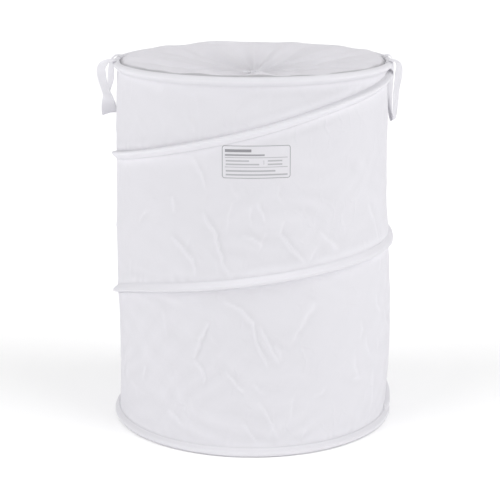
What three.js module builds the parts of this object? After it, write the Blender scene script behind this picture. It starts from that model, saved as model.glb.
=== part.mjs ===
// Pop-up laundry hamper: a fabric tube held open by a spring-steel spiral and two wire hoops,
// with a gathered net across the mouth and two ribbon handles.
// Millimetres, +Z up. The origin is the centre of the base, on the floor, and -Y faces the viewer.

import * as THREE from 'three';

// Overall size
const hamperHeight = 500;
const topHoopRadius = 184.8; // to the centre line of the wire
const baseWidening = 6.9; // how much larger the bottom hoop's radius is
const turnFacets = 48; // flats in one turn of everything round
const seatGap = 0.3; // between pieces that touch

// Spring wire, its crimped sleeves and its end caps
const wireRadius = 1.5;
const wireSides = 8;
const wireEndGap = 1;
const ferruleWall = 0.6;
const ferruleLength = 18;
const capWall = 0.6;
const capLength = 10;
const capEnd = 1.2;
const sleeveSides = 12;

// Rim bindings: a fabric roll round each hoop, open where the wall enters
const bindingRadius = 4.5;
const bindingArcPoints = 11;

// Fabric wall and base
const fabricThickness = 1.2;
const wallFlareHeight = 4; // over which the wall leaves the roll for its own radius
const wallRowShares = [0.2, 0.4, 0.6, 0.75, 0.9]; // of the height between the two flares
const seamTapeWidth = 12;
const seamTapeThickness = 1;

// Spiral: two turns that rise to the right across the front
const spiralTurns = 2;
const spiralStartFacet = -1; // one facet in front of the right-hand side
const spiralEndClearance = 2.7; // from a flare of the wall to an end cap
const spiralTaperPower = 3; // the tube narrows mostly near its top
// Height of the wire at every eighth of a turn, as shares of its whole rise
const spiralRiseShares = [
  0, 0.0874, 0.1715, 0.2514, 0.3247, 0.4067, 0.467, 0.5055, 0.5178,
  0.5512, 0.6116, 0.6785, 0.7454, 0.8004, 0.8738, 0.9547, 1,
];
const casingHalfHeight = 6.3;
const casingProud = 4.5; // in front of the wire's centre line
const casingEdge = 1.2; // thickness of its sewn edges
const casingArcPoints = 7;

// Net collar, drawn in to a gathered hem that sags at the middle of the mouth
const netThickness = 1;
const netFolds = 16;
const netFoldDepth = 4;
const netSag = 19; // of the hem's top, below the top of the rim
// Rings of the net from rim to hem: radius, height and fold depth, as shares
const netRadiusShares = [1, 0.975, 0.8, 0.42, 0];
const netHeightShares = [0.76, 1.1, 0.93, 0.4, 0];
const netFoldShares = [0, 0.15, 0.75, 1, 0];
const hemRadius = 12;
const hemWidth = 4;
const hemHeight = 10;
const hemThickness = 1;
const hemWave = 1.5;

// Ribbon handles, each a loop sewn to the rim at two places
const ribbonWidth = 20;
const ribbonThickness = 1.2;
const handleSpread = 56; // between the sewn ends
const handleBulge = 25; // how far a loop stands out from the line through its ends
const leftHandleDrop = 76;
const rightHandleDrop = 85;
// Each row: outwards in bulges, along the rim in half spreads, down in drops, turn in half turns,
// and how far the ribbon's width leans up
const leftHandleShares = [
  [0, -1, 0, 0, 0],
  [0.36, -0.99, 0.015, 0.02, 0],
  [0.7, -0.93, 0.1, 0.06, 0],
  [0.83, -0.82, 0.22, 0.11, 0],
  [0.79, -0.66, 0.38, 0.13, 0],
  [0.66, -0.48, 0.55, 0.17, 0],
  [0.55, -0.36, 0.67, 0.2, -0.05],
  [0.54, -0.27, 0.82, 0.36, -0.25],
  [0.54, 0, 1, 0.53, -0.3],
  [0.54, 0.27, 0.82, 0.67, -0.25],
  [0.54, 0.36, 0.67, 0.82, -0.05],
  [0.56, 0.48, 0.55, 0.86, 0],
  [0.59, 0.66, 0.38, 0.9, 0],
  [0.61, 0.82, 0.22, 0.93, 0],
  [0.56, 0.93, 0.1, 0.97, 0],
  [0.32, 0.99, 0.015, 0.99, 0],
  [0, 1, 0, 1, 0],
];
const rightHandleShares = [
  [0, -1, 0, 0, 0],
  [0.3, -0.99, 0.012, 0.02, 0],
  [0.5, -0.93, 0.11, 0.07, 0],
  [0.54, -0.76, 0.27, 0.12, 0],
  [0.46, -0.5, 0.5, 0.08, 0],
  [0.46, -0.24, 0.74, 0.07, 0],
  [0.46, -0.06, 0.94, 0.07, 0],
  [0.37, 0, 1, 0.07, 0],
  [0.28, 0.06, 0.94, 0.07, 0],
  [0.27, 0.24, 0.74, 0.07, 0],
  [0.33, 0.5, 0.5, 0.06, 0],
  [0.44, 0.76, 0.27, 0.03, 0],
  [0.46, 0.93, 0.11, 0.01, 0],
  [0.3, 0.99, 0.012, 0, 0],
  [0, 1, 0, 0, 0],
];

// Sizes that follow from the ones above
const facetAngle = (2 * Math.PI) / turnFacets;
const seamFacet = turnFacets / 4; // the joints of the hoops and the wall lie at the back
const seamAngle = (seamFacet + 1 / 2) * facetAngle;
const flatShare = Math.cos(facetAngle / 2); // a flat's distance from the axis, by its corner's
const wireChannel = wireRadius + seatGap;
const ferruleRadius = wireChannel + ferruleWall;
const capRadius = wireChannel + capWall;
const bindingSlot = ferruleRadius + seatGap;
const bindingMouth = Math.sqrt(bindingRadius ** 2 - bindingSlot ** 2);
const bottomHoopRadius = topHoopRadius + baseWidening;
const topHoopHeight = hamperHeight - bindingRadius;
const bottomHoopHeight = bindingRadius;
const wallStandoff = capRadius + seatGap; // from the spiral's centre line in to the wall
const wallBottom = bottomHoopHeight + bindingMouth + seatGap + wallFlareHeight;
const wallTop = topHoopHeight - bindingMouth - seatGap - wallFlareHeight;
const spiralBottom = wallBottom + capRadius + spiralEndClearance;
const spiralTop = wallTop - capRadius - spiralEndClearance;
const netRadius = (topHoopRadius - bindingRadius) * flatShare - seatGap;
const hemTop = hamperHeight - netSag;
const handleChord = Math.sqrt(topHoopRadius ** 2 - (handleSpread / 2) ** 2);
const handleHeight = hamperHeight + seatGap + ribbonThickness / 2;

// Finishes
const whiteFabric = { color: 0xe6e5ea, roughness: 0.85, metalness: 0 };
const whiteTape = { color: 0xf0f0f3, roughness: 0.7, metalness: 0 };
const whiteNet = { color: 0xdcdbe2, roughness: 0.9, metalness: 0 };
const springSteel = { color: 0x8f9296, roughness: 0.35, metalness: 1 };
const clearPlastic = { color: 0xe8e8e4, roughness: 0.4, metalness: 0 };

const hamper = new THREE.Group();

function addPiece(name, geometry, finish) {
  const mesh = new THREE.Mesh(geometry, new THREE.MeshStandardMaterial(finish));
  mesh.name = name;
  hamper.add(mesh);
  return mesh;
}

// A point at a distance from the axis, an angle round it and a height
function polar(radius, angle, height) {
  return new THREE.Vector3(radius * Math.cos(angle), radius * Math.sin(angle), height);
}

function signedVolume(corners) {
  let sum = 0;
  for (let i = 0; i < corners.length; i += 3) {
    sum += corners[i].dot(corners[i + 1].clone().cross(corners[i + 2]));
  }
  return sum / 6;
}

// A closed skin through outlines that all have the same number of points.
// A ring of outlines joins its last to its first, and a run of them is capped at both ends.
function loft(outlines, flatOutline, isRing) {
  const count = outlines[0].length;
  const corners = [];
  const joints = isRing ? outlines.length : outlines.length - 1;
  for (let i = 0; i < joints; i++) {
    const here = outlines[i];
    const next = outlines[(i + 1) % outlines.length];
    for (let j = 0; j < count; j++) {
      const k = (j + 1) % count;
      corners.push(here[j], next[j], next[k], here[j], next[k], here[k]);
    }
  }
  if (!isRing) {
    const last = outlines[outlines.length - 1];
    const clockwise = THREE.ShapeUtils.isClockWise(flatOutline);
    for (const [a, b, c] of THREE.ShapeUtils.triangulateShape(flatOutline, [])) {
      const [p, q] = clockwise ? [c, b] : [b, c];
      corners.push(outlines[0][a], outlines[0][p], outlines[0][q]);
      corners.push(last[a], last[q], last[p]);
    }
  }
  if (signedVolume(corners) < 0) {
    for (let i = 0; i < corners.length; i += 3) {
      [corners[i + 1], corners[i + 2]] = [corners[i + 2], corners[i + 1]];
    }
  }
  const geometry = new THREE.BufferGeometry().setFromPoints(corners);
  geometry.computeVertexNormals();
  return geometry;
}

// A profile of [radius, height] points, turned about the axis
function turned(profile) {
  const outlines = [];
  for (let i = 0; i < turnFacets; i++) {
    outlines.push(profile.map(([radius, height]) => polar(radius, i * facetAngle, height)));
  }
  return loft(outlines, [], true);
}

// A path through given points, with one step from each point to the next
class WirePath extends THREE.Curve {
  constructor(points) {
    super();
    this.points = points;
  }

  getPoint(t, target = new THREE.Vector3()) {
    const place = t * (this.points.length - 1);
    const index = Math.min(Math.floor(place), this.points.length - 2);
    return target.lerpVectors(this.points[index], this.points[index + 1], place - index);
  }

  getUtoTmapping(u) {
    return u;
  }
}

function wireAlong(points) {
  const section = new THREE.Shape();
  for (let i = 0; i < wireSides; i++) {
    const angle = (2 * Math.PI * i) / wireSides;
    const x = wireRadius * Math.cos(angle);
    const y = wireRadius * Math.sin(angle);
    if (i === 0) {
      section.moveTo(x, y);
    } else {
      section.lineTo(x, y);
    }
  }
  section.closePath();
  return new THREE.ExtrudeGeometry(section, {
    steps: points.length - 1,
    extrudePath: new WirePath(points),
    bevelEnabled: false,
  });
}

// Places a shape that was turned about +Y so that +Y runs along a direction
function aim(mesh, position, direction) {
  mesh.quaternion.setFromUnitVectors(new THREE.Vector3(0, 1, 0), direction);
  mesh.position.copy(position);
}

// Hoops

function hoopCorner(radius, height, facet) {
  return polar(radius, facet * facetAngle, height);
}

// The two ends of a hoop's wire meet inside a sleeve, in the middle of a flat at the back
function addHoop(name, radius, height) {
  const before = hoopCorner(radius, height, seamFacet);
  const after = hoopCorner(radius, height, seamFacet + 1);
  const direction = after.clone().sub(before).normalize();
  const middle = before.clone().lerp(after, 1 / 2);
  const points = [middle.clone().addScaledVector(direction, wireEndGap / 2)];
  for (let facet = 1; facet <= turnFacets; facet++) {
    points.push(hoopCorner(radius, height, seamFacet + facet));
  }
  points.push(middle.clone().addScaledVector(direction, -wireEndGap / 2));
  addPiece(`${name}_wire`, wireAlong(points), springSteel);

  const halfLength = ferruleLength / 2;
  const tube = [
    new THREE.Vector2(wireChannel, -halfLength),
    new THREE.Vector2(ferruleRadius, -halfLength),
    new THREE.Vector2(ferruleRadius, halfLength),
    new THREE.Vector2(wireChannel, halfLength),
    new THREE.Vector2(wireChannel, -halfLength),
  ];
  const ferrule = addPiece(
    `${name}_ferrule`,
    new THREE.LatheGeometry(tube, sleeveSides),
    springSteel,
  );
  aim(ferrule, middle, direction);
}

// The rim's roll of fabric: a round section with a slot on the side that the wall comes from.
// up is 1 where that side is above the wire, and -1 where it is below.
function bindingProfile(hoopRadius, hoopHeight, up) {
  const slotAngle = Math.asin(bindingSlot / bindingRadius);
  const sweep = 2 * (Math.PI - slotAngle);
  const profile = [];
  for (let i = 0; i < bindingArcPoints; i++) {
    const angle = slotAngle + (sweep * i) / (bindingArcPoints - 1);
    profile.push([
      hoopRadius + bindingRadius * Math.sin(angle),
      hoopHeight + up * bindingRadius * Math.cos(angle),
    ]);
  }
  profile.push([hoopRadius - bindingSlot, hoopHeight - up * bindingSlot]);
  profile.push([hoopRadius + bindingSlot, hoopHeight - up * bindingSlot]);
  return profile;
}

// Spiral

function heightShare(height) {
  return (height - bottomHoopHeight) / (topHoopHeight - bottomHoopHeight);
}

// Radius of the spiral's wire where it passes a height
function spiralRadius(height) {
  const narrowing = (bottomHoopRadius - topHoopRadius) * heightShare(height) ** spiralTaperPower;
  return bottomHoopRadius - narrowing;
}

const risePlaces = spiralRiseShares.map((share, i) => i / (spiralRiseShares.length - 1));
const riseCurve = new THREE.CubicInterpolant(
  risePlaces,
  spiralRiseShares,
  1,
  new Float64Array(1),
);

// Corners of the spiral's centre line, one at each corner of the wall's facets
const spiralSteps = spiralTurns * turnFacets;
const spiralStations = [];
for (let step = 0; step <= spiralSteps; step++) {
  const share = riseCurve.evaluate(step / spiralSteps)[0];
  spiralStations.push({
    angle: (spiralStartFacet + step) * facetAngle,
    height: spiralBottom + (spiralTop - spiralBottom) * share,
  });
}

function addSpiralWire() {
  const points = spiralStations.map(({ angle, height }) =>
    polar(spiralRadius(height), angle, height),
  );
  addPiece('spiral_wire', wireAlong(points), springSteel);
  addEndCap('spiral_lower_end_cap', points[0], points[1]);
  addEndCap('spiral_upper_end_cap', points[points.length - 1], points[points.length - 2]);
}

// A cup over the end of the wire, so that it doesn't pierce the fabric
function addEndCap(name, end, inner) {
  const cup = [
    new THREE.Vector2(0, 0),
    new THREE.Vector2(capRadius, 0),
    new THREE.Vector2(capRadius, capLength),
    new THREE.Vector2(wireChannel, capLength),
    new THREE.Vector2(wireChannel, capEnd),
    new THREE.Vector2(0, capEnd),
  ];
  const direction = inner.clone().sub(end).normalize();
  const base = end.clone().addScaledVector(direction, -(capEnd + seatGap));
  aim(addPiece(name, new THREE.LatheGeometry(cup, sleeveSides), clearPlastic), base, direction);
}

// The casing's section: [outwards from the wire, up from the wire], open to the wall
function casingSection() {
  const back = seatGap - wallStandoff;
  const front = back + casingEdge;
  const section = [
    [back, -casingHalfHeight],
    [back, -wireChannel],
    [wireChannel, -wireChannel],
    [wireChannel, wireChannel],
    [back, wireChannel],
    [back, casingHalfHeight],
  ];
  for (let i = 0; i < casingArcPoints; i++) {
    const angle = (Math.PI * i) / (casingArcPoints - 1);
    section.push([
      front + (casingProud - front) * Math.sin(angle),
      casingHalfHeight * Math.cos(angle),
    ]);
  }
  return section;
}

// A tape sewn over the spiral wire, wherever it is clear of the wall's two flares
function addSpiralCasing() {
  const section = casingSection();
  const lowest = wallBottom + seatGap + casingHalfHeight;
  const highest = wallTop - seatGap - casingHalfHeight;
  const outlines = spiralStations
    .filter(({ height }) => height > lowest && height < highest)
    .map(({ angle, height }) =>
      section.map(([out, up]) => polar(spiralRadius(height + up) + out, angle, height + up)),
    );
  const flat = section.map(([out, up]) => new THREE.Vector2(out, up));
  addPiece('spiral_casing', loft(outlines, flat, false), whiteTape);
}

// Wall and base

// Rows of the wall: [radius of its outer face, height]
function wallRows() {
  const halfThickness = fabricThickness / 2;
  const rows = [
    [bottomHoopRadius + halfThickness, bottomHoopHeight + bindingSlot],
    [bottomHoopRadius + halfThickness, bottomHoopHeight + bindingMouth + seatGap],
  ];
  for (const share of [0, ...wallRowShares, 1]) {
    const height = wallBottom + (wallTop - wallBottom) * share;
    rows.push([spiralRadius(height) - wallStandoff, height]);
  }
  rows.push([topHoopRadius + halfThickness, topHoopHeight - bindingMouth - seatGap]);
  rows.push([topHoopRadius + halfThickness, topHoopHeight - bindingSlot]);
  return rows;
}

function addWall() {
  const outside = wallRows();
  const inside = outside.map(([radius, height]) => [radius - fabricThickness, height]).reverse();
  addPiece('wall_fabric', turned([...outside, ...inside]), whiteFabric);
}

// The tape that covers the wall's seam, on the inner face of one flat
function addSeamTape() {
  const across = new THREE.Vector3(-Math.sin(seamAngle), Math.cos(seamAngle), 0);
  const half = seamTapeWidth / 2;
  const rows = wallRows().slice(2, -2);
  const outlines = rows.map(([radius, height]) => {
    const outer = (radius - fabricThickness) * flatShare - seatGap;
    const inner = outer - seamTapeThickness;
    return [
      polar(outer, seamAngle, height).addScaledVector(across, -half),
      polar(outer, seamAngle, height).addScaledVector(across, half),
      polar(inner, seamAngle, height).addScaledVector(across, half),
      polar(inner, seamAngle, height).addScaledVector(across, -half),
    ];
  });
  const flat = [
    new THREE.Vector2(seamTapeThickness, -half),
    new THREE.Vector2(seamTapeThickness, half),
    new THREE.Vector2(0, half),
    new THREE.Vector2(0, -half),
  ];
  addPiece('side_seam_tape', loft(outlines, flat, false), whiteTape);
}

// A disc of fabric whose upper edge meets the rounded inner side of the rim's roll
function addBottomPanel() {
  const edgeDrop = bottomHoopHeight - fabricThickness;
  const radius = bottomHoopRadius - Math.sqrt((bindingRadius + seatGap) ** 2 - edgeDrop ** 2);
  const disc = new THREE.CylinderGeometry(radius, radius, fabricThickness, turnFacets);
  const panel = addPiece('bottom_panel', disc, whiteFabric);
  panel.rotation.x = Math.PI / 2;
  panel.position.z = fabricThickness / 2;
}

// Net collar

function addMeshCollar() {
  const outlines = [];
  const stations = 2 * turnFacets;
  const depth = hamperHeight - hemTop;
  for (let i = 0; i < stations; i++) {
    const angle = (i * facetAngle) / 2;
    const fold = Math.sin(netFolds * angle);
    const upper = netRadiusShares.map((radiusShare, j) => {
      const radius = hemRadius + (netRadius - hemRadius) * radiusShare;
      const rise = depth * netHeightShares[j] + netFoldDepth * netFoldShares[j] * fold;
      return [radius, hemTop + seatGap + netThickness + rise];
    });
    const lower = upper.map(([radius, height]) => [radius, height - netThickness]).reverse();
    outlines.push([...upper, ...lower].map(([radius, height]) => polar(radius, angle, height)));
  }
  addPiece('mesh_collar', loft(outlines, [], true), whiteNet);
}

// A folded channel for a drawstring, open along its lower edge
function addCollarHem() {
  const half = hemWidth / 2;
  const section = [
    [-half, -hemHeight],
    [-half, 0],
    [half, 0],
    [half, -hemHeight],
    [half - hemThickness, -hemHeight],
    [half - hemThickness, -hemThickness],
    [hemThickness - half, -hemThickness],
    [hemThickness - half, -hemHeight],
  ];
  const outlines = [];
  for (let i = 0; i < turnFacets; i++) {
    const angle = i * facetAngle;
    const radius = hemRadius + hemWave * Math.sin(netFolds * angle);
    outlines.push(section.map(([out, up]) => polar(radius + out, angle, hemTop + up)));
  }
  addPiece('collar_hem', loft(outlines, [], true), whiteTape);
}

// Handles

// A flat ribbon through a row of places. side is 1 on the right and -1 on the left.
function ribbonLoop(rows, drop, side) {
  const halfSpread = handleSpread / 2;
  const places = rows.map(
    ([out, along, down]) =>
      new THREE.Vector3(
        side * (handleChord + handleBulge * out),
        halfSpread * along,
        handleHeight - drop * down,
      ),
  );
  const flat = [
    new THREE.Vector2(-ribbonWidth / 2, -ribbonThickness / 2),
    new THREE.Vector2(ribbonWidth / 2, -ribbonThickness / 2),
    new THREE.Vector2(ribbonWidth / 2, ribbonThickness / 2),
    new THREE.Vector2(-ribbonWidth / 2, ribbonThickness / 2),
  ];
  const outlines = places.map((place, i) => {
    const ahead = places[Math.min(i + 1, places.length - 1)];
    const behind = places[Math.max(i - 1, 0)];
    const along = ahead.clone().sub(behind).normalize();
    const turn = Math.PI * rows[i][3];
    const across = new THREE.Vector3(side * Math.sin(turn), Math.cos(turn), rows[i][4]);
    across.addScaledVector(along, -across.dot(along)).normalize();
    const through = along.clone().cross(across);
    return flat.map(({ x, y }) =>
      place.clone().addScaledVector(across, x).addScaledVector(through, y),
    );
  });
  return loft(outlines, flat, false);
}

addHoop('top_hoop', topHoopRadius, topHoopHeight);
addHoop('bottom_hoop', bottomHoopRadius, bottomHoopHeight);
addPiece(
  'top_rim_binding',
  turned(bindingProfile(topHoopRadius, topHoopHeight, -1)),
  whiteTape,
);
addPiece(
  'bottom_rim_binding',
  turned(bindingProfile(bottomHoopRadius, bottomHoopHeight, 1)),
  whiteTape,
);
addSpiralWire();
addSpiralCasing();
addWall();
addSeamTape();
addBottomPanel();
addMeshCollar();
addCollarHem();
addPiece('left_handle', ribbonLoop(leftHandleShares, leftHandleDrop, -1), whiteTape);
addPiece('right_handle', ribbonLoop(rightHandleShares, rightHandleDrop, 1), whiteTape);

export default hamper;
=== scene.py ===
"""A pop-up laundry hamper in thin white cloth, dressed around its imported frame.

Lengths are metres in the frame's own axes: +Z up, -Y towards the viewer, and the origin at the centre
of the base on the floor. Angles round the hamper start at +X and turn towards +Y.
"""

import logging
import math
from dataclasses import dataclass
from enum import Enum
from typing import Any, Sequence

import bpy
import numpy as np
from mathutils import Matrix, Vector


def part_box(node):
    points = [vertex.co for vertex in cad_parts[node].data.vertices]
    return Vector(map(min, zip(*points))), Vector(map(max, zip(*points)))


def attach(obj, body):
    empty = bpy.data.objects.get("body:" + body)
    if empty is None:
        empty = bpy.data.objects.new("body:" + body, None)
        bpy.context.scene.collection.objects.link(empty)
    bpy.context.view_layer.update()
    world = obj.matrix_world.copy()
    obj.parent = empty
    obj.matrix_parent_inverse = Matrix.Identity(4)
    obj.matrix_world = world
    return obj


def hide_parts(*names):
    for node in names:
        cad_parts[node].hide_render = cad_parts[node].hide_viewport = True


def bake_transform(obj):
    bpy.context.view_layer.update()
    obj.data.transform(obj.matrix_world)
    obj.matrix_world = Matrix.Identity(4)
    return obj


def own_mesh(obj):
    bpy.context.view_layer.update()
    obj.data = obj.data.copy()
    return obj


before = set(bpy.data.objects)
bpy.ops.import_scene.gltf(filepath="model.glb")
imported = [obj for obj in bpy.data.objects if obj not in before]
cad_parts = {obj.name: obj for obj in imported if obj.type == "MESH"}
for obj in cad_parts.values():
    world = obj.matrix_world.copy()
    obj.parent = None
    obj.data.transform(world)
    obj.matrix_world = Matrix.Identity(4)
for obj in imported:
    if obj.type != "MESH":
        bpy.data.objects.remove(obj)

MM = 0.001
TURN = 2 * math.pi
FRONT = -math.pi / 2  # the side of the hamper that faces the viewer
SEWN_GAP = 0.05 * MM  # from the cloth to the middle of a stitch's ends
Array = np.ndarray
Piece, Mesh, Material = bpy.types.Object, bpy.types.Mesh, bpy.types.Material
Tree, Node, Socket = bpy.types.NodeTree, bpy.types.Node, bpy.types.NodeSocket
Colour = tuple[float, float, float]
Line = tuple[Array, Array]  # a path's points, and which way is outwards at each

log = logging.getLogger("hamper")


# Shared mathematics


def smoothstep(value: Array | float) -> Array:
    """Rise smoothly from 0 to 1 as value does, and stay level outside."""
    t = np.clip(value, 0.0, 1.0)
    return t * t * (3 - 2 * t)


def hermite(places: Array, knots: Sequence[float], values: Sequence[float]) -> Array:
    """Interpolate smoothly through values at knots.

    Args:
        places: Where to read the curve.
        knots: Rising places of the known values.
        values: The known values.

    Returns:
        The curve's value at each place.
    """
    x, v = np.asarray(knots, float), np.asarray(values, float)
    slopes = np.empty_like(v)
    slopes[1:-1] = (v[2:] - v[:-2]) / (x[2:] - x[:-2])
    slopes[0] = (v[1] - v[0]) / (x[1] - x[0])
    slopes[-1] = (v[-1] - v[-2]) / (x[-1] - x[-2])
    places = np.clip(places, x[0], x[-1])
    i = np.clip(np.searchsorted(x, places, side="right") - 1, 0, len(x) - 2)
    span = x[i + 1] - x[i]
    t = (places - x[i]) / span
    start = (1 + 2 * t) * (1 - t) ** 2 * v[i] + t * (1 - t) ** 2 * slopes[i] * span
    end = t * t * (3 - 2 * t) * v[i + 1] - t * t * (1 - t) * slopes[i + 1] * span
    return start + end


def ring(radius: Array | float, angle: Array | float, height: Array | float) -> Array:
    """Points at a distance from the axis, an angle round it and a height."""
    parts = np.broadcast_arrays(radius * np.cos(angle), radius * np.sin(angle), height)
    return np.stack(parts, axis=-1)


def smooth_path(points: Array, count: int) -> Array:
    """Draw an even, rounded path through points.

    Args:
        points: The places that the path passes.
        count: How many points the path gets.

    Returns:
        An array of count points at equal steps along the path.
    """
    knots = np.arange(len(points), dtype=float)
    fine = np.linspace(0, len(points) - 1, 12 * len(points))
    dense = np.stack([hermite(fine, knots, points[:, k]) for k in range(points.shape[1])], axis=1)
    along = np.concatenate([[0], np.cumsum(np.linalg.norm(np.diff(dense, axis=0), axis=1))])
    steps = np.linspace(0, along[-1], count)
    return np.stack([np.interp(steps, along, dense[:, k]) for k in range(points.shape[1])], axis=1)


def thick_line(line: Array, thickness: float, edge: float = 1.0) -> Array:
    """The closed outline of a strip whose middle follows a flat line.

    Args:
        line: The middle line.
        thickness: Thickness of the strip.
        edge: Share of the thickness that is left at both ends of the line.

    Returns:
        One face's points and then the other's, backwards.
    """
    ahead = np.gradient(line, axis=0)
    normal = np.stack([ahead[:, 1], -ahead[:, 0]], axis=1)
    normal /= np.linalg.norm(normal, axis=1, keepdims=True)
    taper = np.minimum(1, edge + 0.35 * np.minimum(np.arange(len(line)), np.arange(len(line))[::-1]))
    half = (thickness / 2 * taper)[:, None]
    return np.concatenate([line + half * normal, (line - half * normal)[::-1]])


def hill(value: Array, middle: float | Array, width: float) -> Array:
    """Rise to 1 at the middle, and fall off smoothly over a width to each side."""
    return np.exp(-(((value - middle) / width) ** 2))


def flat_grid(across: Array, along: Array | float) -> Array:
    """Pairs of two lengths that broadcast to one grid."""
    return np.stack(np.broadcast_arrays(across, along), axis=-1)


def there_and_back(steps: Array) -> Array:
    """Values along one face of a strip and back along the other."""
    return np.concatenate([steps, steps[::-1]])


def both_faces(outer: Array, inner: Array) -> Array:
    """Join the two faces of a strip into one outline for each station."""
    return np.concatenate([outer, inner[:, ::-1]], axis=1)


class RoundNoise:
    """Smooth random values over an unrolled tube, which join up all the way round."""

    def __init__(self, rng: np.random.Generator, around: int, rows: int) -> None:
        """Draw the values at around places round the tube on rows levels."""
        self.values = rng.uniform(-1, 1, (rows + 1, around))

    def __call__(self, turn: Array, share: Array) -> Array:
        """Read the noise.

        Args:
            turn: Place round the tube, in whole turns.
            share: Place up the tube, from 0 to 1.

        Returns:
            Values between -1 and 1.
        """
        rows, around = self.values.shape
        x = np.mod(turn, 1) * around
        y = np.clip(share, 0, 1) * (rows - 1)
        i, j = np.floor(x).astype(int), np.minimum(np.floor(y).astype(int), rows - 2)
        fx, fy = smoothstep(x - i), smoothstep(y - j)
        i, k = i % around, (i + 1) % around
        low = self.values[j, i] * (1 - fx) + self.values[j, k] * fx
        high = self.values[j + 1, i] * (1 - fx) + self.values[j + 1, k] * fx
        return low * (1 - fy) + high * fy


# Meshes


def grid_faces(rows: int, columns: int, wrap_rows: bool, wrap_columns: bool) -> Array:
    """Four-sided faces between the points of a grid that is stored row by row.

    Args:
        rows: Number of rows of points.
        columns: Number of points in a row.
        wrap_rows: Whether the last row joins the first.
        wrap_columns: Whether each row's last point joins its first.

    Returns:
        One row of four indices for each face.
    """
    i = np.arange(rows if wrap_rows else rows - 1)[:, None]
    j = np.arange(columns if wrap_columns else columns - 1)[None, :]
    i2, j2 = (i + 1) % rows, (j + 1) % columns
    corners = np.broadcast_arrays(i * columns + j, i * columns + j2, i2 * columns + j2, i2 * columns + j)
    return np.stack(corners, axis=-1).reshape(-1, 4)


def signed_volume(points: Array, faces: Sequence[Array]) -> float:
    """Volume inside a closed skin, negative when its faces point inwards.

    Args:
        points: Its points.
        faces: Arrays of its faces.

    Returns:
        The volume.
    """
    total = 0.0
    for group in faces:
        for k in range(1, group.shape[1] - 1):
            a, b, c = points[group[:, 0]], points[group[:, k]], points[group[:, k + 1]]
            total += float((a * np.cross(b, c)).sum()) / 6
    return total


def add_object(name: str, data: Any) -> Piece:
    """Put new data in the scene.

    Args:
        name: Name of the object.
        data: A mesh, light or camera.

    Returns:
        The new object, at the origin.
    """
    made = bpy.data.objects.new(name, data)
    bpy.context.scene.collection.objects.link(made)
    return made


def make_piece(
    name: str,
    points: Array,
    faces: Sequence[Array],
    material: Material,
    unrolled: Array,
    around: float = 0.0,
) -> Piece:
    """Make one closed piece, its faces outwards, with its unrolled places as UVs in metres.

    Args:
        name: Name of the piece.
        points: Its points.
        faces: Arrays of faces, each with its own number of corners.
        material: Its finish.
        unrolled: Two lengths for each point, across the cloth and along it.
        around: Distance round the piece where its unrolled places join up, or 0.

    Returns:
        The new object, at the origin.
    """
    if signed_volume(points, faces) < 0:
        faces = [group[:, ::-1] for group in faces]
    mesh = bpy.data.meshes.new(name)
    mesh.from_pydata(points.tolist(), [], [face for group in faces for face in group.tolist()])
    layer = mesh.uv_layers.new(name="UVMap")
    corners = []
    for group in faces:
        places = unrolled[group].copy()
        if around:
            first = places[..., 0].max(axis=1, keepdims=True)
            places[..., 0] += around * (places[..., 0] < first - around / 2)
        corners.append(places.reshape(-1, 2))
    layer.data.foreach_set("uv", np.concatenate(corners).astype(np.float32).reshape(-1))
    mesh.materials.append(material)
    mesh.shade_smooth()
    mesh.set_sharp_from_angle(angle=math.radians(55))
    return add_object(name, mesh)


def store_painted_shading(piece: Piece, values: Array) -> None:
    """Store a value for each of a piece's points, which its finish scales into painted light and painted
    shade.
    """
    layer = piece.data.attributes.new("relief", "FLOAT", "POINT")
    layer.data.foreach_set("value", np.asarray(values, np.float32).reshape(-1))


def up_facing_shading(piece: Piece, least: float = 0.0) -> Array:
    """Find which parts of a piece face up, where its finish paints shade to dim the highlight that light
    from above gives.

    Args:
        piece: A tape or a roll.
        least: Lowest value, for the parts that face down; below 0 it gives them painted light.

    Returns:
        A value for each of its points, up to 1.
    """
    normals = np.empty(3 * len(piece.data.vertices), np.float32)
    piece.data.vertex_normals.foreach_get("vector", normals)
    rise = normals[2::3]
    return np.clip(np.where(rise > 0, 1.1, 2.6) * rise, least, 1)


def swept_piece(
    name: str,
    sections: Array,
    unrolled: tuple[Array, Array],
    material: Material,
    around: float | None = None,
) -> Piece:
    """Make a strip of tape from the outlines of its thickness, one for each station along it.

    Args:
        name: Name of the piece.
        sections: Stations x outline points x 3. Each outline is a strip's two faces, end to end.
        unrolled: Lengths across and along the cloth, which broadcast to stations x outline points.
        material: Its finish.
        around: Distance round a strip whose last station joins its first.

    Returns:
        The new object.
    """
    stations, count = sections.shape[:2]
    faces = [grid_faces(stations, count, around is not None, True)]
    if around is None:
        i = np.arange(count // 2 - 1)
        cap = np.stack([i, i + 1, count - 2 - i, count - 1 - i], axis=1)
        faces += [cap[:, ::-1], cap + (stations - 1) * count]
    flat = flat_grid(*unrolled).reshape(-1, 2)
    return make_piece(name, sections.reshape(-1, 3), faces, material, flat, around or 0.0)


# Node trees


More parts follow.
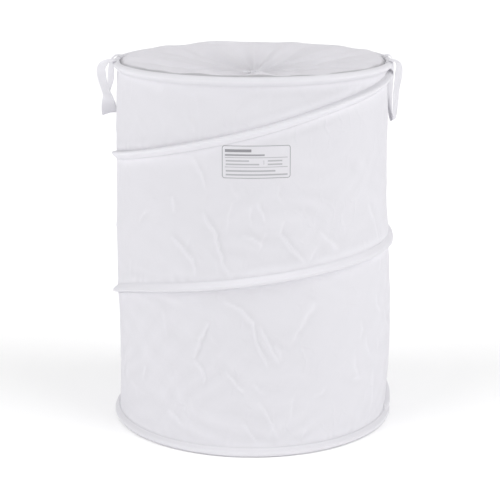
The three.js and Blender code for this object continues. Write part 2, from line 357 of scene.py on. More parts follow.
class Graph:
    """A node tree being built, with short ways to add nodes and join them."""

    def __init__(self, tree: Tree) -> None:
        """Start from a tree."""
        self.tree = tree

    def add(self, kind: str, inputs: dict[Any, Any] | None = None, **settings: Any) -> Node:
        """Add a node.

        Args:
            kind: Blender's name for the type of node.
            inputs: Plain values or other nodes' outputs, by the name or number of the input.
            **settings: The node's own properties.

        Returns:
            The node.
        """
        node = self.tree.nodes.new(kind)
        for name, value in settings.items():
            setattr(node, name, value)
        for name, value in (inputs or {}).items():
            self.feed(node.inputs[name], value)
        return node

    def feed(self, socket: Socket, value: Any) -> None:
        """Join another node's output to a socket, or give the socket a plain value.

        Args:
            socket: Input to feed.
            value: An output or a plain value.
        """
        if isinstance(value, Socket):
            self.tree.links.new(value, socket)
        else:
            socket.default_value = value

    def math(self, operation: str, *values: Any, clamp: bool = False) -> Socket:
        """Add a Math node on numbers or sockets, and return its output."""
        inputs = dict(enumerate(values))
        return self.add("ShaderNodeMath", inputs, operation=operation, use_clamp=clamp).outputs[0]

    def vector(self, operation: str, *values: Any, result: str = "Vector") -> Socket:
        """Add a Vector Math node on vectors or sockets, and return one of its outputs."""
        node = self.add("ShaderNodeVectorMath", dict(enumerate(values)), operation=operation)
        return node.outputs[result]

    def noise(self, place: Any, scale: Any, detail: float = 2.0) -> Any:
        """Add a noise texture, and return its outputs."""
        return self.add("ShaderNodeTexNoise", {"Vector": place, "Scale": scale, "Detail": detail}).outputs

    def split(self, value: Any) -> Any:
        """Take a vector apart, and return its numbers by the names of their axes."""
        return self.add("ShaderNodeSeparateXYZ", {0: value}).outputs

    def spread(self, value: Any) -> Socket:
        """Make a vector with the same number on all three axes."""
        return self.add("ShaderNodeCombineXYZ", dict.fromkeys("XYZ", value)).outputs[0]


class Port(Enum):
    """Kinds of socket on a node group."""

    NUMBER = "NodeSocketFloat"
    VECTOR = "NodeSocketVector"
    GEOMETRY = "NodeSocketGeometry"
    MATERIAL = "NodeSocketMaterial"


class GroupTree:
    """A node group with named ports, drawn once and placed by every user with new values."""

    def __init__(self, name: str, kind: str, result: str, result_port: Port, **takes: Port) -> None:
        """Make the empty group and its two end nodes.

        Args:
            name: Name of the group.
            kind: Blender's name for the type of tree.
            result: Name of its output.
            result_port: Kind of its output.
            **takes: Its inputs, with an underscore for each space.
        """
        tree = bpy.data.node_groups.new(name, kind)
        self.graph, self.identifiers = Graph(tree), {}
        for label, port in takes.items():
            label = label.replace("_", " ")
            socket = tree.interface.new_socket(label, in_out="INPUT", socket_type=port.value)
            self.identifiers[label] = socket.identifier
        tree.interface.new_socket(result, in_out="OUTPUT", socket_type=result_port.value)
        self.entry, self.exit = self.graph.add("NodeGroupInput"), self.graph.add("NodeGroupOutput")

    def __getitem__(self, label: str) -> Socket:
        """The inner end of an input."""
        return self.entry.outputs[label]

    def give(self, value: Any) -> "GroupTree":
        """Join a socket to the output, and return the group."""
        self.graph.feed(self.exit.inputs[0], value)
        return self

    def place(self, graph: Graph, **values: Any) -> Socket:
        """Put the group into a material's tree with its own values, and return its output."""
        inputs = {label.replace("_", " "): value for label, value in values.items()}
        return graph.add("ShaderNodeGroup", inputs, node_tree=self.graph.tree).outputs[0]


class ShaderEffects:
    """The effects that several finishes share, each one a shader node group."""

    SLUB_SCALE = 160.0  # wanderings of a thread to a metre
    TONE_DETAIL = 3.0
    # Of the crumple, in cells: bends and patches to a cell, and the width of a crease
    BEND_SCALE, PATCH_SCALE, CREASE_WIDTH = 0.9, 0.55, 0.2
    PATCH_START, PATCH_GAIN, SWELL = 0.47, 6.0, 0.8
    CELL_STRETCH = (1.0, 0.6, 1.0)
    PATCH_OFFSET = (7.0, 3.0, 0.0)

    def __init__(self) -> None:
        """Build every group once."""
        self.weave, self.tone, self.crumple = self._weave(), self._tone(), self._crumple()
        self.net, self.frame, self.bar = self._net(), self._frame(), self._bar()

    @staticmethod
    def _start(name: str, result: str, *numbers: str, **vectors: Port) -> tuple[GroupTree, Graph]:
        """Begin a group that works out a number from a place.

        Args:
            name: Name of the group.
            result: Name of the number.
            *numbers: Names of the numbers that it takes.
            **vectors: Names and kinds of the other vectors that it takes.

        Returns:
            The group and its tree.
        """
        takes = {"Place": Port.VECTOR, **vectors, **dict.fromkeys(numbers, Port.NUMBER)}
        group = GroupTree(name, "ShaderNodeTree", result, Port.NUMBER, **takes)
        return group, group.graph

    def _weave(self) -> GroupTree:
        """Plain weave: threads that pass over and under each other.

        Returns:
            The group.
        """
        group, g = self._start("Plain weave", "Height", "Pitch", "Slub")
        wander = g.noise(group["Place"], self.SLUB_SCALE)["Fac"]
        slip = g.math("MULTIPLY", g.math("SUBTRACT", wander, 0.5), group["Slub"])
        place, waves = g.split(group["Place"]), []
        for axis in "XY":
            phase = g.math("DIVIDE", g.math("MULTIPLY", place[axis], TURN), group["Pitch"])
            waves.append(g.math("SINE", g.math("ADD", phase, slip)))
        return group.give(g.math("MULTIPLY_ADD", g.math("MULTIPLY", *waves), 0.5, 0.5))

    def _tone(self) -> GroupTree:
        """Slow changes of brightness, as cloth has where it has been handled.

        Returns:
            The group.
        """
        group, g = self._start("Soft tone", "Tone", "Size", "Amount")
        noise = g.noise(group["Place"], g.math("DIVIDE", 1.0, group["Size"]), self.TONE_DETAIL)
        swing = g.math("SUBTRACT", noise["Fac"], 0.5)
        return group.give(g.math("MULTIPLY_ADD", swing, group["Amount"], 1.0))

    def _crumple(self) -> GroupTree:
        """Sharp creases between flat facets, as thin crisp cloth keeps after it has been folded.

        Returns:
            The group.
        """
        group, g = self._start("Fine crumple", "Height", "Size")
        place = g.vector("MULTIPLY", group["Place"], g.spread(g.math("DIVIDE", 1.0, group["Size"])))
        bend = g.noise(place, self.BEND_SCALE)
        offset = g.vector("SUBTRACT", bend["Color"], (0.5, 0.5, 0.5))
        bent = g.vector("ADD", g.vector("MULTIPLY", place, self.CELL_STRETCH), offset)
        cells = g.add(
            "ShaderNodeTexVoronoi", {"Vector": bent, "Scale": 1.0},
            feature="DISTANCE_TO_EDGE", voronoi_dimensions="2D",
        )
        near = g.math("DIVIDE", cells.outputs["Distance"], self.CREASE_WIDTH)
        ridge = g.math("SUBTRACT", 1.0, near, clamp=True)
        patch = g.noise(g.vector("ADD", place, self.PATCH_OFFSET), self.PATCH_SCALE)["Fac"]
        patch = g.math("SUBTRACT", patch, self.PATCH_START)
        shown = g.math("MULTIPLY", patch, self.PATCH_GAIN, clamp=True)
        swell = g.math("MULTIPLY", bend["Fac"], self.SWELL)
        return group.give(g.math("MULTIPLY_ADD", g.math("MULTIPLY", ridge, ridge), shown, swell))

    def _net(self) -> GroupTree:
        """Diamond net: thin strands with open holes between them.

        Returns:
            The group.
        """
        group, g = self._start("Diamond net", "Strands", "Pitch", "Strand")
        place, strands = g.split(group["Place"]), []
        for operation in ("ADD", "SUBTRACT"):
            slant = g.math(operation, place["X"], place["Y"])
            cell = g.math("FRACT", g.math("DIVIDE", slant, group["Pitch"]))
            strands.append(g.math("LESS_THAN", cell, group["Strand"]))
        return group.give(g.math("MAXIMUM", *strands))

    def _frame(self) -> GroupTree:
        """Printed outline of a rectangle with round corners.

        Returns:
            The group.
        """
        vectors = {"Centre": Port.VECTOR, "Half size": Port.VECTOR}
        group, g = self._start("Printed frame", "Ink", "Corner", "Line", **vectors)
        offset = g.vector("ABSOLUTE", g.vector("SUBTRACT", group["Place"], group["Centre"]))
        beyond = g.vector("SUBTRACT", offset, group["Half size"])
        beyond = g.vector("MAXIMUM", beyond, (0.0, 0.0, 0.0))
        length = g.vector("LENGTH", g.vector("MULTIPLY", beyond, (1.0, 1.0, 0.0)), result="Value")
        away = g.math("ABSOLUTE", g.math("SUBTRACT", length, group["Corner"]))
        return group.give(g.math("LESS_THAN", away, g.math("DIVIDE", group["Line"], 2.0)))

    def _bar(self) -> GroupTree:
        """Printed solid bar between two corners.

        Returns:
            The group.
        """
        group, g = self._start("Printed bar", "Ink", Low=Port.VECTOR, High=Port.VECTOR)
        ink = 1.0
        for high, low in (("Place", "Low"), ("High", "Place")):
            beyond = g.split(g.vector("SUBTRACT", group[high], group[low]))
            for axis in "XY":
                ink = g.math("MULTIPLY", ink, g.math("GREATER_THAN", beyond[axis], 0.0))
        return group.give(ink)


# Finishes


@dataclass(frozen=True)
class Finish:
    """A material in the making: its name and its even values."""

    name: str
    colour: Colour
    roughness: float = 0.8
    metallic: float = 0.0

    def start(self) -> tuple[Material, Graph, Node]:
        """Make the material with its shader, and set what is even all over.

        Returns:
            The material, its tree and its shader.
        """
        material = bpy.data.materials.new(self.name)
        material.use_nodes = True
        shader = material.node_tree.nodes["Principled BSDF"]
        shader.inputs["Roughness"].default_value = self.roughness
        shader.inputs["Metallic"].default_value = self.metallic
        return material, Graph(material.node_tree), shader

    def tint(self, graph: Graph, tone: Any) -> Socket:
        """The finish's colour, made brighter or darker by tone."""
        return graph.vector("MULTIPLY", self.colour, graph.spread(tone))

    @staticmethod
    def painted_shading(graph: Graph, gain: float) -> Socket:
        """How bright a place is painted, from the painted light and shade that its mesh has stored."""
        relief = graph.add("ShaderNodeAttribute", attribute_name="relief").outputs["Fac"]
        return graph.math("MULTIPLY_ADD", relief, gain, 1.0)

    @staticmethod
    def bump(graph: Graph, shader: Node, height: Any, depth: float) -> None:
        """Give the shader a relief of a depth in metres."""
        node = graph.add("ShaderNodeBump", {"Distance": depth, "Height": height})
        graph.feed(shader.inputs["Normal"], node.outputs["Normal"])


@dataclass(frozen=True)
class PrintedPanel:
    """The small printed panel on the wall: an outline, two rules, a divider and plain bars.

    Its places are on the unrolled wall, across from the middle of the front and up from the floor.
    """

    left: float = -39.5 * MM
    right: float = 48.5 * MM
    bottom: float = 372.5 * MM
    top: float = 413.5 * MM
    corner: float = 3.2 * MM
    line: float = 0.85 * MM
    margin: float = 3.4 * MM
    rule_heights: tuple[float, float] = (386.5 * MM, 398.6 * MM)
    divider: float = 14.0 * MM
    ink: Colour = (0.30, 0.30, 0.32)
    outline_ink: float = 0.9
    rule_ink: float = 0.6
    divider_ink: float = 0.5
    # Plain bars: left, bottom, right and top in millimetres, and darkness
    bars: tuple[tuple[float, float, float, float, float], ...] = (
        (-36.0, 405.6, -2.0, 409.2, 0.95),
        (-36.0, 400.8, 15.0, 402.9, 0.85),
        (-35.0, 393.5, -5.0, 395.4, 0.55),
        (-35.0, 389.0, 8.0, 390.9, 0.55),
        (19.0, 393.5, 38.0, 395.4, 0.55),
        (19.0, 389.0, 38.0, 390.9, 0.55),
        (-35.0, 380.6, 29.0, 382.6, 0.62),
        (-35.0, 375.7, 45.0, 377.7, 0.62),
    )

    def ink_share(self, graph: Graph, effects: ShaderEffects, place: Any) -> Socket:
        """How much ink lies on each place of the wall.

        Args:
            graph: The material's tree.
            effects: The shared groups.
            place: Unrolled place of the shaded point.

        Returns:
            A socket from 0 for bare cloth to 1 for full ink.
        """
        centre = ((self.left + self.right) / 2, (self.bottom + self.top) / 2, 0.0)
        half = ((self.right - self.left) / 2 - self.corner, (self.top - self.bottom) / 2 - self.corner, 0.0)
        outline = effects.frame.place(
            graph, Place=place, Centre=centre, Half_size=half, Corner=self.corner, Line=self.line
        )
        ink = graph.math("MULTIPLY", outline, self.outline_ink)
        thin, edge, (low, high) = self.line / 2, self.margin, self.rule_heights
        shapes = [
            (self.left + edge, height - thin, self.right - edge, height + thin, self.rule_ink)
            for height in self.rule_heights
        ]
        shapes.append((self.divider - thin, low + edge, self.divider + thin, high - edge, self.divider_ink))
        shapes += [tuple(MM * value for value in bar[:4]) + bar[4:] for bar in self.bars]
        for left, bottom, right, top, darkness in shapes:
            bar = effects.bar.place(graph, Place=place, Low=(left, bottom, -1.0), High=(right, top, 1.0))
            ink = graph.math("MAXIMUM", ink, graph.math("MULTIPLY", bar, darkness))
        return ink


@dataclass(frozen=True)
class ClothFinish(Finish):
    """Woven cloth or tape, with its weave, its handling marks and its fine creases."""

    pitch: float = 0.5 * MM
    slub: float = 1.5
    weave_depth: float = 0.05 * MM
    weave_tone: float = 0.03
    crease_size: float = 22 * MM
    crease_depth: float = 0.0
    tone_size: float = 70 * MM
    tone_amount: float = 0.03
    see_through: float = 0.0
    painted_shading_gain: float = 0.0  # how much the stored painted light and shade brighten or darken the cloth
    print: PrintedPanel | None = None

    def material(self, effects: ShaderEffects) -> Material:
        """Build the cloth's material.

        Args:
            effects: The shared shader groups.

        Returns:
            The finished material.
        """
        material, graph, shader = self.start()
        place = graph.add("ShaderNodeUVMap", uv_map="UVMap").outputs[0]
        tone = effects.tone.place(graph, Place=place, Size=self.tone_size, Amount=self.tone_amount)
        weave = effects.weave.place(graph, Place=place, Pitch=self.pitch, Slub=self.slub)
        grain = graph.math("MULTIPLY_ADD", weave, self.weave_tone, 1 - self.weave_tone / 2)
        grain = graph.math("MULTIPLY", tone, grain)
        # Painted light and shade, from the values stored on the mesh
        if self.painted_shading_gain:
            grain = graph.math("MULTIPLY", grain, self.painted_shading(graph, self.painted_shading_gain))
        colour = self.tint(graph, grain)
        if self.print:
            share = self.print.ink_share(graph, effects, place)
            inputs = {"Factor": share, "A": colour, "B": (*self.print.ink, 1.0)}
            colour = graph.add("ShaderNodeMix", inputs, data_type="RGBA").outputs["Result"]
        graph.feed(shader.inputs["Base Color"], colour)
        height = graph.math("MULTIPLY", weave, self.weave_depth / MM)
        if self.crease_depth:
            crease = effects.crumple.place(graph, Place=place, Size=self.crease_size)
            height = graph.math("MULTIPLY_ADD", crease, self.crease_depth / MM, height)
        self.bump(graph, shader, height, MM)
        if self.see_through:
            self._let_light_through(graph, shader, colour)
        return material

    def _let_light_through(self, graph: Graph, shader: Node, colour: Any) -> None:
        """Let part of the light behind the cloth glow through it.

        Args:
            graph: The material's tree.
            shader: Its Principled BSDF.
            colour: Colour of the glow.
        """
        glow = graph.add("ShaderNodeBsdfTranslucent", {"Color": colour}).outputs["BSDF"]
        shares = {"Fac": self.see_through, 1: shader.outputs["BSDF"], 2: glow}
        both = graph.add("ShaderNodeMixShader", shares).outputs[0]
        graph.feed(graph.tree.nodes["Material Output"].inputs["Surface"], both)


@dataclass(frozen=True)
class NetFinish(Finish):
    """See-through net of thin strands."""

    pitch: float = 1.5 * MM
    strand_share: float = 0.4
    strand_depth: float = 0.15 * MM
    haze: float = 0.42
    tone_size: float = 60 * MM
    tone_amount: float = 0.05
    seam_painted_shade: float = 0.35  # how much painted shade darkens the net where it turns down to its seam

    def material(self, effects: ShaderEffects) -> Material:
        """Build the net's material.

        Args:
            effects: The shared shader groups.

        Returns:
            The finished material.
        """
        material, graph, shader = self.start()
        place = graph.add("ShaderNodeUVMap", uv_map="UVMap").outputs[0]
        tone = effects.tone.place(graph, Place=place, Size=self.tone_size, Amount=self.tone_amount)
        net = effects.net.place(graph, Place=place, Pitch=self.pitch, Strand=self.strand_share)
        # Painted shade in the groove where the net turns down to its seam
        tone = graph.math("MULTIPLY", tone, self.painted_shading(graph, self.seam_painted_shade))
        graph.feed(shader.inputs["Base Color"], self.tint(graph, tone))
        graph.feed(shader.inputs["Alpha"], graph.math("MULTIPLY_ADD", net, 1.0 - self.haze, self.haze))
        self.bump(graph, shader, net, self.strand_depth)
        return material


@dataclass(frozen=True)
class SolidFinish(Finish):
    """Steel wire, moulded plastic or the floor: fine grain on the object's own places."""

    grain_size: float = 1.5 * MM
    grain_depth: float = 0.02 * MM
    tone_size: float = 12 * MM
    tone_amount: float = 0.1
    roughness_swing: float = 0.15

    def material(self, effects: ShaderEffects) -> Material:
        """Build the material of a hard piece.

        Args:
            effects: The shared shader groups.

        Returns:
            The finished material.
        """
        material, graph, shader = self.start()
        place = graph.add("ShaderNodeTexCoord").outputs["Object"]
        tone = effects.tone.place(graph, Place=place, Size=self.tone_size, Amount=self.tone_amount)
        graph.feed(shader.inputs["Base Color"], self.tint(graph, tone))
        swing = graph.math("SUBTRACT", tone, 1.0)
        rough = graph.math("MULTIPLY_ADD", swing, self.roughness_swing / self.tone_amount, self.roughness)
        graph.feed(shader.inputs["Roughness"], rough)
        crumple = effects.crumple.place(graph, Place=place, Size=self.grain_size)
        self.bump(graph, shader, crumple, self.grain_depth)
        return material


class Finishes:
    """Every material of the hamper, made once."""

    def __init__(self, effects: ShaderEffects) -> None:
        """Build the materials.

        Args:
            effects: The shared shader groups.
        """
        white = (0.790, 0.782, 0.818)
        # The wall's gain paints light on ridges and just under the tapes, and shade in hollows
        self.wall = ClothFinish(
            "white wall cloth", white, 0.82, crease_depth=0.35 * MM, see_through=0.22,
            painted_shading_gain=0.05, print=PrintedPanel(),
        ).material(effects)
        self.base = ClothFinish("white base cloth", white, 0.82, crease_depth=0.3 * MM).material(effects)
        # The tape's negative gain paints shade where it faces up and light where it faces down
        self.tape = ClothFinish(
            "white binding tape", (0.775, 0.767, 0.803), 0.75, pitch=0.7 * MM,
            weave_depth=0.07 * MM, tone_size=40 * MM, see_through=0.15, painted_shading_gain=-0.11,
        ).material(effects)
        self.ribbon = ClothFinish(
            "white ribbon", (0.88, 0.875, 0.90), 0.6, pitch=0.8 * MM,
            weave_depth=0.07 * MM, tone_size=25 * MM, see_through=0.46,
        ).material(effects)
        self.thread = ClothFinish(
            "white thread", (0.79, 0.785, 0.815), 0.6, pitch=0.3 * MM, weave_depth=0.03 * MM
        ).material(effects)
        self.net = NetFinish("white net", (0.765, 0.752, 0.79), 0.9).material(effects)
        self.steel = SolidFinish("spring steel", (0.45, 0.46, 0.48), 0.32, metallic=1.0).material(effects)
        self.plastic = SolidFinish("milky plastic", (0.80, 0.80, 0.77), 0.4).material(effects)


# Shape of the hamper


@dataclass(frozen=True)
class HamperShape:
    """The hamper's driving sizes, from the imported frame, and the lines that its pieces follow."""

    wire_radius: float
    top_radius: float
    top_height: float
    bottom_radius: float
    bottom_height: float
    roll_radius: float
    spiral_low: float
    spiral_high: float
    rim: float
    standoff: float = 2.7 * MM  # from the spiral's middle in to the wall's outer face
    cloth: float = 1.0 * MM
    flare: float = 4 * MM  # over which the wall leaves a roll for its own radius
    slot: float = 2.7 * MM  # from a hoop's middle to the edge of the wall inside its roll
    mouth: float = 3.9 * MM  # from a hoop's middle to where the wall leaves its roll
    leg: float = 7.0 * MM  # from a hoop's middle to the sewn edge of its binding
    casing_half: float = 6.5 * MM
    casing_drift: float = 3.0 * MM  # of the spiral from the middle of its tape, at most
    casing_reach: float = 20 * MM  # of the tape beyond each end of the spiral
    end_hold: float = 2.5  # of those lengths, round the hamper, where the tape's end holds the wall
    spiral_turns: int = 2
    spiral_start: float = -TURN / 48
    taper_power: float = 3.0
    # Height of the spiral at every eighth of a turn, as shares of its whole rise
    rise_shares: tuple[float, ...] = (
        0, 0.0874, 0.1715, 0.2514, 0.3217, 0.4067, 0.4615, 0.4965, 0.5096,
        0.5462, 0.6106, 0.6795, 0.7484, 0.8078, 0.8798, 0.9569, 1,
    )

    @classmethod
    def from_frame(cls) -> "HamperShape":
        """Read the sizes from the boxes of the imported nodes.

        Returns:
            The hamper's sizes.
        """
        hoops = {end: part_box(f"{end}_hoop_wire") for end in ("top", "bottom")}
        wire = (hoops["top"][1].z - hoops["top"][0].z) / 2
        sizes, rim = {}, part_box("top_rim_binding")[1].z
        for end, (low, high) in hoops.items():
            sizes |= {f"{end}_radius": high.x - wire, f"{end}_height": (high.z + low.z) / 2}
        low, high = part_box("spiral_wire")
        return cls(
            **sizes, wire_radius=wire, roll_radius=rim - sizes["top_height"], rim=rim,
            spiral_low=low.z + wire, spiral_high=high.z - wire,
        )

    @property
    def wall_low(self) -> float:
        """Height where the wall has left the bottom roll."""
        return self.bottom_height + self.mouth + self.flare

    @property
    def wall_high(self) -> float:
        """Height where the wall starts to turn into the top roll."""
        return self.top_height - self.mouth - self.flare

    @property
    def around(self) -> float:
        """Distance round the hamper at its middle."""
        return TURN * (self.top_radius + self.bottom_radius) / 2

    def wire_line(self, height: Array | float) -> Array:
        """Radius of the spiral's middle.

        Args:
            height: Heights that it passes.

        Returns:
            Its distances from the axis.
        """
        share = (height - self.bottom_height) / (self.top_height - self.bottom_height)
        narrowing = (self.bottom_radius - self.top_radius) * np.clip(share, 0, 1) ** self.taper_power
        return self.bottom_radius - narrowing

    @property
    def spiral_length(self) -> float:
        """Length of the spiral along its turns, measured level."""
        return self.spiral_turns * self.around

    def spiral(self, share: Array) -> tuple[Array, Array]:
        """Follow the spiral, and on past its ends.

        Args:
            share: Shares of its length.

        Returns:
            Its angles and heights.
        """
        knots = np.linspace(0, 1, len(self.rise_shares))
        rise = hermite(share, knots, self.rise_shares)
        first, last = self.rise_shares[1], 1 - self.rise_shares[-2]
        steps = len(self.rise_shares) - 1
        rise = rise + steps * (first * np.minimum(share, 0) + last * np.maximum(share - 1, 0))
        height = self.spiral_low + (self.spiral_high - self.spiral_low) * rise
        return self.spiral_start + self.spiral_turns * TURN * share, height

    def lean(self, share: Array) -> Array:
        """Which way the spiral lies in its tape: 1 against the upper edge, -1 against the lower."""
        knots = (0, 0.12, 0.28, 0.48, 0.6, 0.7, 0.78, 0.93, 1)
        return hermite(share, knots, (0.2, -0.4, -1, -1, 0, 0.6, 1, 1, 0.2))

    def wall_line(self, height: Array | float) -> Array:
        """Radius of the taut wall's outer face, into the rolls at both ends.

        Args:
            height: Heights on the wall.

        Returns:
            Distances from the axis.
        """
        height = np.asarray(height, float)
        taut = self.wire_line(height) - self.standoff
        low = smoothstep((self.wall_low - height) / self.flare)
        high = smoothstep((height - self.wall_high) / self.flare)
        radius = taut + (self.bottom_radius + self.cloth / 2 - taut) * low
        return radius + (self.top_radius + self.cloth / 2 - radius) * high

    def held_bands(self, angle: Array) -> tuple[Array, Array]:
        """Bands of the wall that are sewn under a tape, lowest first, for each angle.

        Args:
            angle: Angles round the hamper.

        Returns:
            The middles of the bands, and half of their heights: the lower rim, the spiral's turns
            with the tape's ends, and the upper rim.
        """
        phase = np.mod(angle - self.spiral_start, TURN) / TURN
        low, high = np.full(phase.shape, self.bottom_height), np.full(phase.shape, self.top_height)
        reach = self.end_hold * self.casing_reach / self.around
        first, last = phase > 1 - reach, phase < reach
        middles = [low, np.where(first, self._band(phase - 1), low)]
        middles += [self._band(phase + turn) for turn in range(self.spiral_turns)]
        middles += [np.where(last, self._band(phase + self.spiral_turns), high), high]
        halves = np.full((len(middles), len(phase)), self.casing_half)
        halves[[0, -1]] = self.leg
        halves[1] = np.where(first, self.casing_half, self.leg)
        halves[-2] = np.where(last, self.casing_half, self.leg)
        return np.stack(middles), halves

    def _band(self, turns: Array) -> Array:
        """Height of the middle of the spiral's tape, at turns from the spiral's start."""
        share = turns / self.spiral_turns
        return self.spiral(share)[1] - self.casing_drift * self.lean(share)

    def unroll(self, angle: Array, height: Array) -> Array:
        """Unrolled places in metres: across from the middle of the front, and up from the floor."""
        across = (np.mod(angle - FRONT + math.pi, TURN) - math.pi) * self.around / TURN
        return flat_grid(across, height)


@dataclass(frozen=True)
class Crease:
    """A sharp crease in the wall, along a bent line on the unrolled cloth, in millimetres."""

    line: tuple[tuple[float, float], ...]
    height: float
    left_width: float = 5.0
    right_width: float = 5.0
    hollow: float = 0.3  # depth of the fold beside its left flank, as a share of its height


# The main creases of the front
FRONT_CREASES = (
    Crease(((-67, 328), (-48, 298), (-44, 278), (-30, 242)), 2.2, 2.2, 6.0),
    Crease(((-114, 291), (-99, 280), (-81, 264), (-74, 239)), 1.9, 2.4, 5.0),
    Crease(((41, 319), (34, 299), (49, 283), (71, 255)), 1.6, 2.4, 5.0),
    Crease(((6, 342), (16, 314)), 1.0, 3.2, 4.5),
    Crease(((88, 300), (122, 269)), 1.1, 3.5, 7.0),
    Crease(((-111, 344), (-105, 319)), 1.0, 3.0, 5.0),
    Crease(((-15, 299), (0, 294), (13, 284)), 1.0, 2.5, 4.0),
    Crease(((-83, 403), (-67, 376), (-61, 354)), 1.1, 2.6, 7.0),
    Crease(((-59, 182), (-71, 146), (-81, 128)), 2.2, 2.2, 4.5),
    Crease(((-81, 128), (-67, 117), (-63, 103), (-68, 94)), 1.3, 2.4, 4.0),
    Crease(((-38, 213), (-15, 201), (0, 182), (3, 158), (22, 120)), 2.1, 2.2, 4.5),
    Crease(((8, 180), (24, 147), (35, 125)), 1.5, 2.4, 4.0),
    Crease(((83, 209), (66, 179), (44, 146)), 2.2, 9.0, 12.0),
    Crease(((-36, 117), (-25, 104), (-12, 88)), 1.2, 2.4, 4.5),
    Crease(((-121, 52), (-92, 30)), 1.1, 2.6, 5.0),
    Crease(((-15, 47), (8, 17)), 1.2, 2.4, 4.5),
    Crease(((6, 77), (16, 61), (34, 24)), 1.1, 2.4, 5.0),
    Crease(((73, 34), (64, 18)), 1.1, 3.0, 5.0),
)


class WallSlack:
    """How far the wall's cloth stands off its taut line, from slow billows to sharp creases."""

    SEED = 11
    RANDOM_CREASES = 170
    FRONT_REACH = 0.24  # of a turn to each side of the front, where the drawn creases lie
    # Places round the hamper and levels of the slow, middle, warp, mask, pinch, kink and fade noises
    NOISES = ((13, 5), (34, 13), (17, 8), (9, 5), (60, 9), (120, 48), (70, 30))
    # Crossing folds: how many round the hamper, how many up it, and their height
    FOLDS = ((23, 7.0, 0.18 * MM), (31, -9.0, 0.15 * MM), (13, 14.0, 0.18 * MM))
    SLOW_DEPTH, MIDDLE_DEPTH = 0.8 * MM, 0.4 * MM
    WARP, KINK, FADE = 0.8, 1.8, 0.35  # how far the noises bend the folds, bend and fade the creases
    FREE_REACH = 14 * MM  # from a sewn edge to where the folds stand free
    FULL_SPAN = 150 * MM  # least height of a panel that billows in full
    BILLOW_POWER = 0.7  # the lower, the flatter its bow
    # Along a sewn edge the cloth puffs out from a start, over a reach, by a depth
    PUFF_START, PUFF_REACH, PUFF_DEPTH = 1.2 * MM, 13 * MM, 0.5 * MM
    PUFF_LEAST, PUFF_LEVEL, PUFF_FALL = 0.2, 0.65, 0.3  # it is less above a level of the panel
    PINCHES, PINCH_REACH, PINCH_DEPTH, PINCH_WANDER = 46, 9 * MM, 0.4 * MM, 5
    # Where the cloth is taut in front: a level, its tilt, the rise to it and how much looseness goes
    TAUT_START, TAUT_TILT, TAUT_RISE, TAUT_LOSS = 0.78, 0.3, 0.08, 0.85
    MASK_GAIN, LEAST_LOOSE = 0.9, 0.2
    # A crease's taper to its ends, the share of its height that shows, and its hollow's depth
    TAPER_POWER, SHOWN, HOLLOW = 0.8, 0.75, 1.3
    # How far the low, middle and high panels bow out, in millimetres: for 1, the cosine and its square
    BILLOWS = ((0, 3.3, 1.5), (-1.4, -1.1, 0), (0.3, -1.6, 0))
    # Middle heights, their tilt across the hamper and the rise, where one panel's bow gives way to the next
    LOW_END, LOW_TILT, LOW_RISE = 212 * MM, 33 * MM, 50 * MM
    MIDDLE_END, MIDDLE_RISE = 340 * MM, 90 * MM
    # Painted light just under a tape, against the tape's shadow there: its gain, its most at the tape's
    # edge, and the reach over which it fades
    CLEAN_GAIN, CLEANEST, CLEAN_REACH = 3.6, 2.4, 4.5 * MM
    # A random crease, in millimetres and radians: height up the wall, length, slant and flanks
    LEVELS, LENGTHS, SLANT, BEND = (25, 475), (18, 62), 0.55, 0.12
    FRONT_STRENGTHS, STRENGTHS, LEFT_WIDTHS, RIGHT_WIDTHS = (0.25, 0.75), (0.6, 1.8), (2.2, 4), (3, 6)
    TAUT_LEVEL, TAUT_SHARE = 370, 0.4  # above this level in front, creases keep this share

    def __init__(self, shape: HamperShape) -> None:
        """Draw the random folds and creases once.

        Args:
            shape: The hamper's sizes.
        """
        self.shape = shape
        rng = np.random.default_rng(self.SEED)
        self.slow, self.middle, self.warp, self.mask, self.pinch, self.kink, self.fade = (
            RoundNoise(rng, around, rows) for around, rows in self.NOISES
        )
        self.creases = list(FRONT_CREASES) + [self._random_crease(rng) for _ in range(self.RANDOM_CREASES)]

    def _random_crease(self, rng: np.random.Generator) -> Crease:
        """Draw one crease, somewhere on the wall.

        Args:
            rng: Source of the random values.

        Returns:
            The crease.
        """
        around = self.shape.around / MM
        across = rng.uniform(-0.5, 0.5) * around
        height = rng.uniform(*self.LEVELS)
        length = rng.uniform(*self.LENGTHS)
        slant = rng.normal(0, self.SLANT)
        step = np.array([math.sin(slant), -math.cos(slant)]) * length / 2
        bend = rng.normal(0, self.BEND) * length
        is_front = abs(across) < self.FRONT_REACH * around
        strength = rng.uniform(*(self.FRONT_STRENGTHS if is_front else self.STRENGTHS))
        if height > self.TAUT_LEVEL and is_front:
            strength *= self.TAUT_SHARE
        middle = (across + bend * math.cos(slant), height + bend * math.sin(slant))
        line = ((across - step[0], height - step[1]), middle, (across + step[0], height + step[1]))
        return Crease(line, strength, rng.uniform(*self.LEFT_WIDTHS), rng.uniform(*self.RIGHT_WIDTHS))

    def __call__(self, angle: Array, height: Array) -> Array:
        """Find the slack over a grid.

        Args:
            angle: Angles of the grid's columns.
            height: Heights of the grid's rows.

        Returns:
            Rows x columns of distances outwards, in metres.
        """
        below, above = self._held_edges(angle, height)
        span = np.maximum(above - below, MM)
        share = np.clip((height[:, None] - below) / span, 0, 1)
        near = np.maximum(np.minimum(height[:, None] - below, above - height[:, None]), 0)
        free = smoothstep(near / self.FREE_REACH)
        turn = ((angle - FRONT) / TURN)[None, :] + np.zeros_like(span)
        up = np.clip(height / self.shape.rim, 0, 1)[:, None] + np.zeros_like(span)

